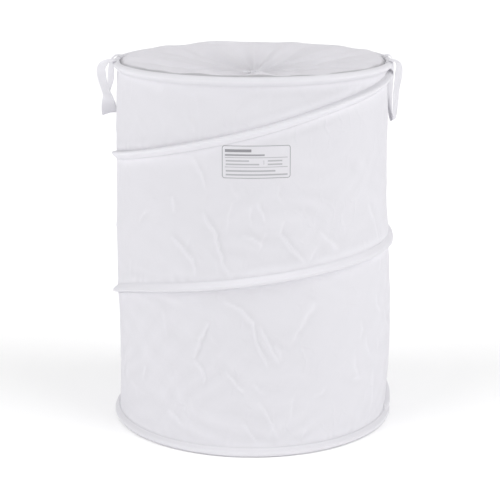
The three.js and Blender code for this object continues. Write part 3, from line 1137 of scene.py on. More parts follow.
        slack = self._billow(angle, height) * (4 * share * (1 - share)) ** self.BILLOW_POWER
        slack *= np.minimum(1, span / self.FULL_SPAN)
        loose = self._looseness(turn, up)
        folds = self.SLOW_DEPTH * self.slow(turn, up) + self.MIDDLE_DEPTH * self.middle(turn, up)
        warp = self.WARP * self.warp(turn, up)
        for around, rise, depth in self.FOLDS:
            wave = around * turn + rise * up + warp
            folds += depth * (2 * np.abs(2 * np.mod(wave, 1) - 1) - 1) * loose
        slack += folds * free
        creases = self._sharp(angle, height, self.KINK * self.kink(turn, up))
        slack += creases * (1 + self.FADE * self.fade(turn, up)) * free
        low = smoothstep((self.PUFF_LEVEL - share) / self.PUFF_FALL)
        puff = self.PUFF_LEAST + (1 - self.PUFF_LEAST) * low
        puff = (1 - np.exp(-near / self.PUFF_START)) * puff
        slack += self.PUFF_DEPTH * puff * np.exp(-near / self.PUFF_REACH)
        pinch = np.sin(TURN * self.PINCHES * turn + self.PINCH_WANDER * self.pinch(turn, up))
        pinch *= 0.5 + 0.5 * self.middle(turn, up)
        return slack + self.PINCH_DEPTH * pinch * puff * np.exp(-near / self.PINCH_REACH)

    def _held_edges(self, angle: Array, height: Array) -> tuple[Array, Array]:
        """Find the sewn edges round each place of a grid.

        Args:
            angle: Angles of the grid's columns.
            height: Heights of its rows.

        Returns:
            Heights of the edge next below and of the edge next above.
        """
        middles, halves = self.shape.held_bands(angle)
        rows = height[None, :, None]
        starts = (middles + halves)[:, None, :]
        ends = (middles - halves)[:, None, :]
        below = np.where(middles[:, None, :] <= rows, starts, starts[0]).max(axis=0)
        above = np.where(middles[:, None, :] > rows, ends, ends[-1]).min(axis=0)
        return below, above

    def painted_light_under_tape(self, angle: Array, height: Array) -> Array:
        """How much painted light brightens the cloth just under a tape, where the tape shades it: most at
        its sewn edge, down to 0.
        """
        under = np.maximum(self._held_edges(angle, height)[1] - height[:, None], 0)
        return np.minimum(self.CLEAN_GAIN * np.exp(-under / self.CLEAN_REACH), self.CLEANEST)

    def _billow(self, angle: Array, height: Array) -> Array:
        """How far each panel is drawn in or out at its middle.

        Args:
            angle: Angles of a grid's columns.
            height: Heights of its rows.

        Returns:
            Rows x columns of distances outwards.
        """
        cos, rows = np.cos(angle), height[:, None]
        low, middle, high = (MM * (even + (tilt + bow * cos) * cos) for even, tilt, bow in self.BILLOWS)
        to_middle = smoothstep((rows - self.LOW_END - self.LOW_TILT * cos) / self.LOW_RISE)
        to_high = smoothstep((rows - self.MIDDLE_END) / self.MIDDLE_RISE)
        return low + (middle - low) * to_middle + (high - middle) * to_high

    def _looseness(self, turn: Array, up: Array) -> Array:
        """Where the cloth is crumpled.

        Args:
            turn: Places round the wall, in whole turns.
            up: Places up the wall, from 0 to 1.

        Returns:
            Values from its least, where the cloth is taut, to 1.
        """
        loose = smoothstep(0.5 + self.MASK_GAIN * self.mask(turn, up))
        across = np.mod(turn + 0.5, 1) - 0.5
        taut = smoothstep((up - self.TAUT_START + self.TAUT_TILT * across) / self.TAUT_RISE)
        return np.maximum(self.LEAST_LOOSE, loose * (1 - self.TAUT_LOSS * taut))

    def _sharp(self, angle: Array, height: Array, kinks: Array) -> Array:
        """Find the heights of all the creases over the grid.

        Args:
            angle: Angles of the grid's columns.
            height: Heights of the grid's rows.
            kinks: How far each place's crease is pushed aside, in millimetres.

        Returns:
            Heights in metres.
        """
        shape = self.shape
        around = shape.around / MM
        across = shape.unroll(angle, 0.0)[..., 0] / MM
        rows = height / MM
        total = np.zeros((len(height), len(angle)))
        for crease in self.creases:
            line = np.array(crease.line)
            reach = 4 * max(crease.left_width, crease.right_width)
            middle = line[:, 0].mean()
            offset = np.mod(across - middle + around / 2, around) - around / 2 + middle
            columns = (offset > line[:, 0].min() - reach) & (offset < line[:, 0].max() + reach)
            levels = (rows > line[:, 1].min() - reach) & (rows < line[:, 1].max() + reach)
            if columns.any() and levels.any():
                window = np.ix_(levels, columns)
                x, y = np.meshgrid(offset[columns], rows[levels])
                total[window] += self._profile(crease, line, x + kinks[window], y)
        return total * MM

    def _profile(self, crease: Crease, line: Array, x: Array, y: Array) -> Array:
        """Shape one crease over a small window, in millimetres.

        Args:
            crease: The crease.
            line: Its bent line.
            x: Places across the window.
            y: Places up the window.

        Returns:
            The crease's height at each place.
        """
        lengths = np.linalg.norm(np.diff(line, axis=0), axis=1)
        starts = np.concatenate([[0], np.cumsum(lengths)])
        best = np.full(x.shape, np.inf)
        side = np.zeros_like(x)
        along = np.zeros_like(x)
        for (x1, y1), (x2, y2), length, start in zip(line[:-1], line[1:], lengths, starts):
            ux, uy = (x2 - x1) / length, (y2 - y1) / length
            t = np.clip((x - x1) * ux + (y - y1) * uy, 0, length)
            away = np.hypot(x - x1 - t * ux, y - y1 - t * uy)
            closer = away < best
            best = np.where(closer, away, best)
            side = np.where(closer, (x - x1) * uy - (y - y1) * ux, side)
            along = np.where(closer, start + t, along)
        is_left = side < 0
        width = np.where(is_left, crease.left_width, crease.right_width)
        share = along / starts[-1]
        taper = np.clip(4 * share * (1 - share), 0, 1) ** self.TAPER_POWER
        dip = self.HOLLOW * best / width * np.exp(1 - best / width) * crease.hollow
        hollow = np.where(is_left, dip, 0)
        return self.SHOWN * crease.height * (np.exp(-best / width) - hollow) * taper


# Sub-assemblies


@dataclass
class Part:
    """A sub-assembly, built to the hamper's shape and in its finishes."""

    shape: HamperShape
    finishes: Finishes


@dataclass
class Wall(Part):
    """The tube of thin cloth and its inside seam tape."""

    columns: int = 448
    rows: int = 156
    inner_columns: int = 224
    inner_rows: int = 78
    seam_angle: float = TURN * (12 + 1 / 2) / 48
    seam_width: float = 12 * MM
    seam_thickness: float = 0.9 * MM
    seam_gap: float = 0.15 * MM
    seam_rows: int = 150
    seam_columns: int = 7
    crowding: float = 0.5  # of the columns towards the front
    roll_rows: int = 6  # of each end of the wall, inside its roll
    crease_shade_depth: float = 0.3 * MM  # height of a ridge that gets full painted light, and depth of a hollow that gets full painted shade
    crease_shade_passes: int = 4  # of evening out, against which ridges and hollows are measured

    def __post_init__(self) -> None:
        """Draw the slack of this wall."""
        self.slack = WallSlack(self.shape)

    def surface(self, angle: Array, height: Array) -> Array:
        """Radius of the outer face over a grid of heights x angles."""
        return self.shape.wall_line(height)[:, None] + self.slack(angle, height)

    def _angles(self, count: int) -> Array:
        """Angles of a layer's columns, closest together at the front."""
        share = np.linspace(0, 1, count, endpoint=False)
        return FRONT + TURN * share - self.crowding * np.sin(TURN * share)

    def _levels(self, count: int) -> Array:
        """Heights of a layer's rows, closer together where the wall turns into the rolls.

        Args:
            count: Number of rows between the rolls.

        Returns:
            The heights, lowest first.
        """
        shape = self.shape
        low = np.linspace(shape.bottom_height + shape.slot, shape.wall_low, self.roll_rows)[:-1]
        high = np.linspace(shape.wall_high, shape.top_height - shape.slot, self.roll_rows)[1:]
        return np.concatenate([low, np.linspace(shape.wall_low, shape.wall_high, count), high])

    def build(self) -> Piece:
        """Make the wall: a fine outer face and a coarser inner one, joined at both rims.

        Returns:
            The new object.
        """
        shape = self.shape
        points, unrolled, faces, firsts, lasts = [], [], [], [], []
        count = 0
        layers = ((self.rows, self.columns), (self.inner_rows, self.inner_columns))
        for depth, (rows, columns) in enumerate(layers):
            levels, angles = self._levels(rows), self._angles(columns)
            slack = self.slack(angles, levels)
            if not depth:
                # Painted light on ridges and just under the tapes, painted shade in hollows
                painted_shading = self._crease_painted_shading(slack) + self.slack.painted_light_under_tape(angles, levels)
            radius = shape.wall_line(levels)[:, None] + slack - depth * shape.cloth
            points.append(ring(radius, angles, levels[:, None]).reshape(-1, 3))
            unrolled.append(shape.unroll(angles, levels[:, None]).reshape(-1, 2))
            face = grid_faces(len(levels), columns, False, True)
            faces.append((face[:, ::-1] if depth else face) + count)
            firsts.append(count)
            count += len(levels) * columns
            lasts.append(count - columns)
        faces += [self._rim(*firsts, flip=True), self._rim(*lasts, flip=False)]
        points = np.concatenate(points)
        cloth = make_piece(
            "wall_cloth", points, faces, self.finishes.wall, np.concatenate(unrolled), shape.around
        )
        store_painted_shading(cloth, np.pad(painted_shading.reshape(-1), (0, len(points) - painted_shading.size)))
        return cloth

    def _crease_painted_shading(self, slack: Array) -> Array:
        """Find which places stand above or below their surroundings, for painted light on ridges and
        painted shade in hollows.

        Args:
            slack: How far each place stands off the taut line.

        Returns:
            A value for each place, 1 on sharp ridges (painted light) and -1 in sharp hollows (painted
            shade).
        """
        around = slack
        for _ in range(self.crease_shade_passes):
            around = (np.roll(around, 1, axis=1) + around + np.roll(around, -1, axis=1)) / 3
            edged = np.concatenate([around[:1], around, around[-1:]])
            around = (edged[:-2] + edged[1:-1] + edged[2:]) / 3
        return np.clip((slack - around) / self.crease_shade_depth, -1, 1)

    def _rim(self, outer: int, inner: int, flip: bool) -> Array:
        """Three-sided faces between a fine ring of points and one with half as many.

        Args:
            outer: Index of the fine ring's first point.
            inner: Index of the coarse ring's first point.
            flip: Whether the faces turn the other way.

        Returns:
            Rows of three indices.
        """
        i = np.arange(self.inner_columns)
        a, b, c = outer + 2 * i, outer + 2 * i + 1, outer + (2 * i + 2) % self.columns
        d, e = inner + i, inner + (i + 1) % self.inner_columns
        faces = np.concatenate([np.stack(t, axis=1) for t in ((a, b, d), (b, e, d), (b, c, e))])
        return faces[:, ::-1] if flip else faces

    def build_seam_tape(self) -> Piece:
        """Make the tape that covers the wall's upright seam on the inside.

        Returns:
            The new object.
        """
        shape = self.shape
        heights = np.linspace(shape.wall_low + MM, shape.wall_high - MM, self.seam_rows)
        half = self.seam_width / 2 / shape.top_radius
        angles = self.seam_angle + np.linspace(-half, half, self.seam_columns)
        back = self.surface(angles, heights) - shape.cloth - self.seam_gap
        front = back - self.seam_thickness
        sections = both_faces(*(ring(face, angles, heights[:, None]) for face in (back, front)))
        across = there_and_back((angles - self.seam_angle) * shape.top_radius)
        return swept_piece("side_seam_binding", sections, (across, heights[:, None]), self.finishes.tape)


@dataclass
class SpiralCasing(Part):
    """The tape sewn over the spiral, and the spring wire inside it."""

    stations: int = 900
    flange: float = 0.9 * MM
    proud: float = 4.5 * MM
    thickness: float = 0.8 * MM
    edge_thickness: float = 0.35 * MM
    clearance: float = 0.1 * MM
    closed_length: float = 15 * MM  # over which the tape closes past each end of the spiral
    closed_share: float = 0.45  # of its width that the tape keeps at its own ends
    columns: int = 21
    ripples: int = 210
    ripple_share: float = 0.06
    flank_power: float = 0.95
    flank_swing: float = 0.45  # of that power, as the spiral leans in the tape
    # Painted shading for the finish: the least value, which paints light where the tape faces down, how
    # much less painted shade the low-lying tape gets where it faces up, and the painted shade on its crest
    least_painted_shading: float = -1.3
    low_shade_cut: float = 0.55
    low_crest_shade: float = 0.45
    crest_shade_width: float = 0.28
    seed: int = 5

    @property
    def reach_share(self) -> float:
        """How far the tape runs past each end of the spiral, as a share of the spiral."""
        return self.shape.casing_reach / self.shape.spiral_length

    def _closing(self, share: Array) -> Array:
        """How open the tape's tunnel is.

        Args:
            share: Places along the spiral.

        Returns:
            Values of 1 over the spiral and down to 0 at the tape's own ends.
        """
        beyond = np.maximum(-share, share - 1) * self.shape.spiral_length
        start = self.shape.casing_reach - self.closed_length
        closed = np.clip((beyond - start) / self.closed_length, 0, 1)
        return np.sqrt(np.maximum(1 - closed**2, 0))

    def _width(self, share: Array) -> Array:
        """Half of the tape's width, which narrows past the ends of the spiral."""
        opened = (1 - self.closed_share) * self._closing(share)
        return self.shape.casing_half * (self.closed_share + opened)

    def edges(self, share: Array, side: int) -> tuple[Array, Array, Array]:
        """Angle, height and radius of the tape's sewn line on one side, for the stitches.

        Args:
            share: Places along the spiral.
            side: 1 for the upper edge, -1 for the lower.

        Returns:
            Three arrays.
        """
        shape = self.shape
        angle, height = shape.spiral(share)
        up = side * (self._width(share) - self.flange / 2) - shape.casing_drift * shape.lean(share)
        radius = shape.wall_line(height + up) + self.clearance + self.edge_thickness
        return angle, height + up, radius + 0.1 * MM

    def build_tape(self) -> Piece:
        """Make the tape, with its crest over the wire and a flat sewn edge on each side.

        Returns:
            The new object.
        """
        shape = self.shape
        ripple = RoundNoise(np.random.default_rng(self.seed), self.ripples, 1)
        share = np.linspace(-self.reach_share, 1 + self.reach_share, self.stations)
        angle, height = shape.spiral(share)
        lean, width = shape.lean(share)[:, None], self._width(share)[:, None]
        edge = 1 - self.flange / shape.casing_half
        u = np.concatenate([[-1], np.linspace(-edge, edge, self.columns), [1]])[None, :]
        up = width * u - shape.casing_drift * lean
        crest = shape.casing_drift / shape.casing_half * lean
        upper = np.clip((u - crest) / (edge - crest), 0, 1)
        lower = np.clip((crest - u) / (edge + crest), 0, 1)
        power, swing = self.flank_power, self.flank_swing * lean
        bulge = (1 - upper**2) ** (power - swing) * (1 - lower**2) ** (power + swing)
        wobble = 1 + self.ripple_share * ripple(share, 0.5 + 0 * share)[:, None]
        bulge = bulge * wobble * self._closing(share)[:, None]
        wall = shape.wall_line(height[:, None] + up) + self.clearance
        flat = self.edge_thickness - self.clearance - shape.standoff
        out = wall + self.edge_thickness + (self.proud - flat) * bulge
        cloth = self.edge_thickness + (self.thickness - self.edge_thickness) * np.clip(2 * bulge, 0, 1)
        levels = height[:, None] + up
        sections = both_faces(*(ring(face, angle[:, None], levels) for face in (out, out - cloth)))
        unrolled = ((share * shape.spiral_length)[:, None], both_faces(up, up))
        tape = swept_piece("spiral_casing_tape", sections, unrolled, self.finishes.tape)
        # Painted shade where the tape faces up and on the low-lying crest, painted light where it faces
        # down
        facing = up_facing_shading(tape, self.least_painted_shading).reshape(self.stations, -1)
        low_lying = np.clip(-lean, 0, 1)
        painted_shading = np.where(facing > 0, facing * (1 - self.low_shade_cut * low_lying), facing)
        painted_shading[:, : u.size] += self.low_crest_shade * low_lying * hill(u, crest, self.crest_shade_width)
        store_painted_shading(tape, painted_shading.reshape(-1))
        return tape

    def build_wire(self, tree: "WireTree") -> Piece:
        """Make the spring wire down the middle of the casing.

        Args:
            tree: The group that draws wire.

        Returns:
            The new object.
        """
        angle, height = self.shape.spiral(np.linspace(0, 1, self.stations))
        line = ring(self.shape.wire_line(height), angle, height)
        lines, steel = [(line, np.array([0.0, 0.0, 1.0]))], self.finishes.steel
        return tree.run("spiral_spring_wire", lines, Radius=self.shape.wire_radius, Finish=steel)


class Way(Enum):
    """Which way a roll's sewn legs point from its hoop."""

    DOWN = -1
    UP = 1


@dataclass
class RimBinding(Part):
    """The roll of tape round one hoop, with two legs that clasp the wall."""

    name: str
    hoop_radius: float
    hoop_height: float
    way: Way
    thickness: float = 0.8 * MM
    clearance: float = 0.15 * MM
    columns: int = 300
    outline_points: int = 30
    opening: float = 0.5  # radians of the roll to each side of its legs that stay open
    edge_share: float = 0.3
    # Irregularities round the roll: places round it, and shares of its radius
    slow_places: int = 24
    quick_places: int = 110
    slow_share: float = 0.03
    quick_share: float = 0.025
    stitch_inset: float = 1.0 * MM
    seed: int = 3

    def leg_line(self, drop: Array, side: int) -> Array:
        """Distance of a leg's middle from the hoop's radius.

        Args:
            drop: Distances along the leg from the hoop.
            side: 1 for the outer leg and -1 for the inner one.

        Returns:
            Distances outwards.
        """
        wall = self.shape.wall_line(self.hoop_height + self.way.value * drop) - self.hoop_radius
        away = self.clearance + self.thickness / 2
        return wall + away if side > 0 else wall - self.shape.cloth - away

    def build(self) -> Piece:
        """Make the roll from one outline, turned about the axis with small irregularities.

        Returns:
            The new object.
        """
        roll = self.shape.roll_radius - self.thickness / 2
        drops = np.linspace(self.shape.leg, roll * 1.25, 5)
        arc = np.linspace(self.opening, TURN - self.opening, 13)
        outer_leg = np.stack([self.leg_line(drops, 1), drops], axis=1)
        inner_leg = np.stack([self.leg_line(drops, -1), drops], axis=1)[::-1]
        round_part = roll * np.stack([np.sin(arc), np.cos(arc)], axis=1)
        line = smooth_path(np.concatenate([outer_leg, round_part, inner_leg]), self.outline_points)
        outline = thick_line(line, self.thickness, self.edge_share)
        angles = np.linspace(0, TURN, self.columns, endpoint=False)
        rng = np.random.default_rng(self.seed)
        slow, quick = RoundNoise(rng, self.slow_places, 1), RoundNoise(rng, self.quick_places, 1)
        turn = angles / TURN
        shrink = self.slow_share * np.abs(slow(turn, 0 * turn))
        shrink += self.quick_share * np.abs(quick(turn, 0 * turn))
        in_roll = smoothstep((roll * 1.4 - outline[:, 1]) / roll)
        scale = 1 - shrink[:, None] * in_roll[None, :]
        radius = self.hoop_radius + outline[None, :, 0] * scale
        height = self.hoop_height + self.way.value * outline[None, :, 1] * scale
        sections = ring(radius, angles[:, None], height)
        steps = np.linalg.norm(np.diff(np.concatenate([line[:1], line]), axis=0), axis=1).cumsum()
        unrolled = (self.shape.unroll(angles, 0.0)[:, :1], there_and_back(steps))
        binding = swept_piece(self.name, sections, unrolled, self.finishes.tape, self.shape.around)
        # Painted shade where the roll faces up; the top roll gets painted light where it faces down
        store_painted_shading(binding, up_facing_shading(binding, -1.0 if self.way is Way.DOWN else 0.0))
        return binding

    def stitch_line(self, side: int, count: int = 480) -> Line:
        """Path of the stitches on one leg's face.

        Args:
            side: 1 for the outer leg and -1 for the inner one.
            count: Number of points on the path.

        Returns:
            The line.
        """
        angles = np.linspace(0, TURN, count)
        drop = np.array([self.shape.leg - self.stitch_inset])
        radius = self.hoop_radius + self.leg_line(drop, side) + side * (self.thickness / 2 + SEWN_GAP)
        points = ring(radius, angles, self.hoop_height + self.way.value * drop)
        return points, side * ring(1.0, angles, 0.0)


@dataclass
class BasePanel(Part):
    """The disc of cloth that closes the bottom, slightly rumpled."""

    thickness: float = 0.9 * MM
    lift: float = 0.1 * MM
    slow_depth: float = 1.4 * MM
    quick_depth: float = 0.5 * MM
    columns: int = 192
    rings: int = 30
    seed: int = 8

    @property
    def radius(self) -> float:
        """Where the disc's upper edge meets the rounded side of the bottom roll.

        Returns:
            The disc's radius.
        """
        roll = self.shape.roll_radius + 0.1 * MM
        drop = self.shape.bottom_height - self.thickness - self.lift
        return self.shape.bottom_radius - math.sqrt(roll**2 - drop**2)

    def build(self) -> Piece:
        """Make the disc with a small centre, closed all round.

        Returns:
            The new object.
        """
        rng = np.random.default_rng(self.seed)
        noise, fine = RoundNoise(rng, 15, 4), RoundNoise(rng, 40, 7)
        angles = np.linspace(0, TURN, self.columns, endpoint=False)
        share = np.linspace(0.02, 1, self.rings)
        turn, up = np.meshgrid(angles / TURN, share)
        wave = np.abs(noise(turn, up)) * self.slow_depth + np.abs(fine(turn, up)) * self.quick_depth
        wave *= smoothstep((1 - up) / 0.12) * smoothstep(up / 0.15)
        radii = (self.radius * share)[:, None]
        low = ring(radii, angles, self.lift + wave)
        high = ring(radii, angles, self.lift + self.thickness + wave)
        count = self.rings * self.columns
        centre = np.array([[0, 0, self.lift], [0, 0, self.lift + self.thickness]])
        points = np.concatenate([low.reshape(-1, 3), high.reshape(-1, 3), centre])
        i = np.arange(self.columns)
        j = (i + 1) % self.columns
        edge = (self.rings - 1) * self.columns
        faces = [
            grid_faces(self.rings, self.columns, False, True)[:, ::-1],
            grid_faces(self.rings, self.columns, False, True) + count,
            np.stack([edge + i, edge + j, count + edge + j, count + edge + i], axis=1)[:, ::-1],
            np.stack([0 * i + 2 * count, i, j], axis=1)[:, ::-1],
            np.stack([0 * i + 2 * count + 1, count + i, count + j], axis=1),
        ]
        return make_piece("base_cloth", points, faces, self.finishes.base, points[:, :2])


@dataclass
class NetCollar(Part):
    """The net across the mouth, drawn in to a gathered hem.

    It is made as gores, each one a thin closed sheet.
    """

    gores: int = 8
    columns: int = 57
    rows: int = 60
    crowding: float = 0.08  # of the rows towards the rim and the hem
    # Where the net gets painted shade as it turns down to its seam, as shares of its width: at the back,
    # nearer in front, and over
    seam_start: float = 0.965
    seam_dip: float = 0.037
    seam_width: float = 0.012
    thickness: float = 0.3 * MM
    hem_radius: float = 12 * MM
    hem_height: float = 10 * MM
    hem_width: float = 3.4 * MM
    sag: float = 19 * MM
    folds: int = 16
    fold_depth: float = 4 * MM
    # The net's line from its hem to the rim, in shares: places, heights and what the back adds
    line_places: tuple[float, ...] = (0, 0.2, 0.42, 0.8, 0.94, 0.975, 1)
    line_shares: tuple[float, ...] = (0, 0.17, 0.4, 0.9, 0.98, 0.93, 0.78)
    back_shares: tuple[float, ...] = (0, 0, 0, 0.03, 0.12, 0.17, 0.02)
    # How high its folds stand along that line
    swell_places: tuple[float, ...] = (0, 0.2, 0.42, 0.8, 0.975, 1)
    swell_shares: tuple[float, ...] = (0, 0.8, 1, 0.75, 0.15, 0)
    # Waves that make up the folds: how many more than the folds, and their share of the depth
    waves: tuple[tuple[int, float], ...] = ((0, 0.55), (-5, 0.4), (7, 0.35))
    gather_count: int = 17
    gather_depth: float = 1.5 * MM
    broad_depth: float = 1.6 * MM
    small_depth: float = 0.5 * MM
    puff_depth: float = 1.6 * MM
    # Where the net puffs over the rim, how wide, and the share of it that is left in front
    puff_place: float = 0.955
    puff_width: float = 0.035
    front_puff: float = 0.3
    # Where the net stands highest over the back of the rim: how high, where and how wide in degrees
    crest: tuple[float, float, float] = (2.6 * MM, 108, 14)
    hem_cloth: float = 0.8 * MM
    hem_columns: int = 360
    ruffle_depth: float = 1.3 * MM
    ruffle_lift: float = 1.4 * MM
    flat_slack: float = 8 * MM  # of the flat net beyond the gap from rim to hem
    flat_neck: float = 45 * MM  # radius of the circle that the flat net's inner edge makes
    blend_inset: float = 3 * MM
    seed: int = 21

    def __post_init__(self) -> None:
        """Draw the random part of the folds."""
        rng = np.random.default_rng(self.seed)
        self.broad = RoundNoise(rng, 11, 5)
        self.small = RoundNoise(rng, 44, 12)
        self.puff = RoundNoise(rng, 21, 1)
        self.phases = rng.uniform(0, TURN, 4)

    @property
    def rim_radius(self) -> float:
        """Where the net is sewn to the inner side of the top roll."""
        return self.shape.top_radius - self.shape.roll_radius - 0.1 * MM

    @property
    def inner_radius(self) -> float:
        """Where the net meets the outside of its hem."""
        return self.hem_radius + self.hem_width / 2 + 0.3 * MM

    def surface(self, radius: Array, angle: Array) -> Array:
        """Height of the net's upper face.

        Args:
            radius: Distances from the axis.
            angle: Angles round it.

        Returns:
            Heights in metres.
        """
        share = (radius - self.inner_radius) / (self.rim_radius - self.inner_radius)
        turn, inwards = angle / TURN, 1 - share
        back = smoothstep((np.sin(angle) + 0.35) / 0.7)
        line = hermite(share, self.line_places, self.line_shares)
        line = line + back * hermite(share, self.line_places, self.back_shares)
        height = self.shape.rim - self.sag + self.sag * line
        main = sum(
            depth * np.sin((self.folds + more) * angle + phase)
            for (more, depth), phase in zip(self.waves, self.phases)
        )
        relief = self.fold_depth * hermite(share, self.swell_places, self.swell_shares) * main
        broad = self.broad(turn, share)
        gathers = np.sin(self.gather_count * angle + self.phases[3] + 1.5 * broad)
        relief += self.gather_depth * gathers * smoothstep(share / 0.03) * (1 - np.clip(share, 0, 1)) ** 4
        relief += self.broad_depth * broad * smoothstep(share / 0.1) * smoothstep(inwards / 0.08)
        relief += self.small_depth * self.small(turn, share) * smoothstep(inwards / 0.03)
        high, middle, width = self.crest
        puff = self.puff_depth * self.puff(turn, 0 * share)
        puff = puff + high * hill(np.mod(angle, TURN), math.radians(middle), math.radians(width))
        puff = puff * hill(share, self.puff_place, self.puff_width)
        return height + relief + puff * (self.front_puff + (1 - self.front_puff) * back)

    def build_gores(self) -> list[Piece]:
        """Make the net's gores, each one a thin closed sheet.

        Returns:
            The new objects, in order round the hamper.
        """
        share = np.linspace(0, 1, self.rows)
        share = share + self.crowding * np.sin(TURN * share) / TURN
        radii = (self.inner_radius + (self.rim_radius - self.inner_radius) * share)[:, None]
        gores = []
        for k in range(self.gores):
            angles = TURN * (k + np.linspace(0, 1, self.columns)) / self.gores
            height = self.surface(*np.broadcast_arrays(radii, angles))
            levels = (height, height - self.thickness)
            sections = both_faces(*(ring(radii, angles, level) for level in levels))
            unrolled = (there_and_back((angles - angles.mean()) * self.rim_radius), radii)
            gore = swept_piece(f"net_gore_{k + 1}", sections, unrolled, self.finishes.net)
            # Painted shade in the groove where the net turns down to its seam
            start = self.seam_start - self.seam_dip * np.clip(-np.sin(angles), 0, 1) ** 2
            sewn = -smoothstep((share[:, None] - start) / self.seam_width)
            store_painted_shading(gore, both_faces(sewn, sewn))
            gores.append(gore)
        return gores

    def build_hem(self) -> Piece:
        """Make the gathered hem: a folded channel, open along its lower edge.

        Returns:
            The new object.
        """
        top = self.shape.rim - self.sag
        half = (self.hem_width - self.hem_cloth) / 2
        arc = np.linspace(0, math.pi, 9)
        crown = np.stack([half * np.cos(arc), -half + half * np.sin(arc)], axis=1)
        drop = np.linspace(-self.hem_height, -half - MM, 6)
        legs = [np.stack([np.full(6, side * half), drop], axis=1) for side in (1, -1)]
        line = smooth_path(np.concatenate([legs[0], crown, legs[1][::-1]]), 22)
        outline = thick_line(line, self.hem_cloth)
        angles = np.linspace(0, TURN, self.hem_columns, endpoint=False)
        turn = angles / TURN
        wave = np.sin(self.gather_count * angles + 1.6 * self.broad(turn, 0 * turn + 0.5))
        ruffle = 0.55 + 0.45 * self.puff(turn, 0 * turn)
        out = self.hem_radius + self.ruffle_depth * (wave * ruffle)[:, None] + outline[None, :, 0]
        lift = np.sin((self.gather_count - 4) * angles + self.phases[1]) * ruffle
        lift = self.ruffle_lift * lift[:, None] * smoothstep(outline[None, :, 1] / self.hem_height + 1)
        sections = ring(out, angles[:, None], top + outline[None, :, 1] + lift)
        steps = np.linspace(0, 2 * self.hem_height, len(line))
        unrolled = (angles[:, None] * self.hem_radius * 2, there_and_back(steps))
        around = TURN * self.hem_radius * 2
        return swept_piece("net_hem_ruffle", sections, unrolled, self.finishes.tape, around)


@dataclass
class RibbonHandle(Part):
    """One ribbon loop and the two sewn ends that hold it to the rim."""

    name: str
    side: int
    drop: float
    rows: tuple[tuple[float, float, float, float, float], ...]
    spread: float = 56 * MM
    bulge: float = 25 * MM
    width: float = 20 * MM
    thickness: float = 0.7 * MM
    cup: float = 0.35 * MM
    end_length: float = 10.4 * MM
    # Where a sewn end starts and stops round the roll, and where its stitches are, in degrees
    end_sweep: tuple[float, float] = (84, 196)
    tack_lifts: tuple[float, ...] = (119, 137, 155)
    tack_share: float = 0.42
    stations: int = 120
    across_points: int = 9

    @property
    def chord(self) -> float:
        """Distance from the axis to the line through the sewn ends."""
        return math.sqrt(self.shape.top_radius**2 - (self.spread / 2) ** 2)

    @property
    def hinge_height(self) -> float:
        """Height of the line that the loop swings about."""
        return self.shape.rim + 0.9 * MM

    def _frames(self, rows: Array, count: int) -> tuple[Array, Array, Array]:
        """Follow the ribbon along its middle.

        Args:
            rows: Rows of its places, turns and leans.
            count: Number of stations.

        Returns:
            Places, directions across the ribbon and directions out of its face.
        """
        fine = smooth_path(rows, count)
        out, along, down, turn, lean = fine.T
        across = self.side * (self.chord + self.bulge * out)
        places = np.stack([across, self.spread / 2 * along, self.hinge_height - self.drop * down], axis=1)
        ahead = np.gradient(places, axis=0)
        ahead /= np.linalg.norm(ahead, axis=1, keepdims=True)
        half_turn = math.pi * turn
        across = np.stack([self.side * np.sin(half_turn), np.cos(half_turn), lean], axis=1)
        across -= ahead * (across * ahead).sum(axis=1, keepdims=True)
        across /= np.linalg.norm(across, axis=1, keepdims=True)
        return places, across, np.cross(ahead, across)

    @property
    def length(self) -> float:
        """Length of the ribbon between its sewn ends."""
        places = self._frames(np.array(self.rows), self.stations)[0]
        return float(np.linalg.norm(np.diff(places, axis=0), axis=1).sum())

    def build_loop(self) -> Piece:
        """Make the hanging loop, with a slight crown across its width.

        Returns:
            The new object.
        """
        places, across, face = self._frames(np.array(self.rows), self.stations)
        u = np.linspace(-1, 1, self.across_points)
        cup = self.cup * (1 - u**2)
        middle = places[:, None] + across[:, None] * (u * self.width / 2)[None, :, None]
        middle = middle + face[:, None] * cup[None, :, None]
        half = face[:, None] * self.thickness / 2
        steps = np.linalg.norm(np.diff(places, axis=0, prepend=places[:1]), axis=1).cumsum()
        unrolled = (there_and_back(u * self.width / 2), steps[:, None])
        sections = both_faces(middle + half, middle - half)
        return swept_piece(f"{self.name}_ribbon_loop", sections, unrolled, self.finishes.ribbon)

    def _end_angle(self, end: int) -> float:
        """Angle round the hamper at which a sewn end lies."""
        return math.atan2(end * self.spread / 2, self.side * self.chord)

    def build_tab(self, end: int) -> Piece:
        """Make one sewn end, which lies over the roll from its top to its inner side.

        Args:
            end: -1 for the end nearer the viewer and 1 for the other.

        Returns:
            The new object.
        """
        shape = self.shape
        sweep = np.linspace(*np.radians(self.end_sweep), 16)
        radius = shape.roll_radius + 0.1 * MM + self.thickness / 2
        profile = np.stack([radius * np.cos(sweep), radius * np.sin(sweep)], axis=1)
        outline = thick_line(profile, self.thickness)
        u = np.linspace(-1, 1, self.across_points) * self.width / 2
        angles = self._end_angle(end) + u / shape.top_radius
        sections = ring(shape.top_radius + outline[None, :, 0], angles[:, None],
                        shape.top_height + outline[None, :, 1])
        steps = np.linspace(0, radius * (sweep[-1] - sweep[0]), len(sweep))
        unrolled = (u[:, None], there_and_back(steps))
        name = f"{self.name}_ribbon_{'back' if end > 0 else 'front'}_end"
        return swept_piece(name, sections, unrolled, self.finishes.ribbon)

    def tack_lines(self) -> list[Line]:
        """Short lines of stitches across both sewn ends.

        Returns:
            The lines.
        """
        lines = []
        shape = self.shape
        reach = shape.roll_radius + self.thickness + 0.15 * MM
        for end in (-1, 1):
            across = np.linspace(-self.tack_share, self.tack_share, 12) * self.width / shape.top_radius
            angles = self._end_angle(end) + across
            for lift in np.radians(self.tack_lifts):
                out, up = math.cos(lift), math.sin(lift)
                points = ring(shape.top_radius + reach * out, angles, shape.top_height + reach * up)
                lines.append((points, ring(out, angles, up)))
        return lines


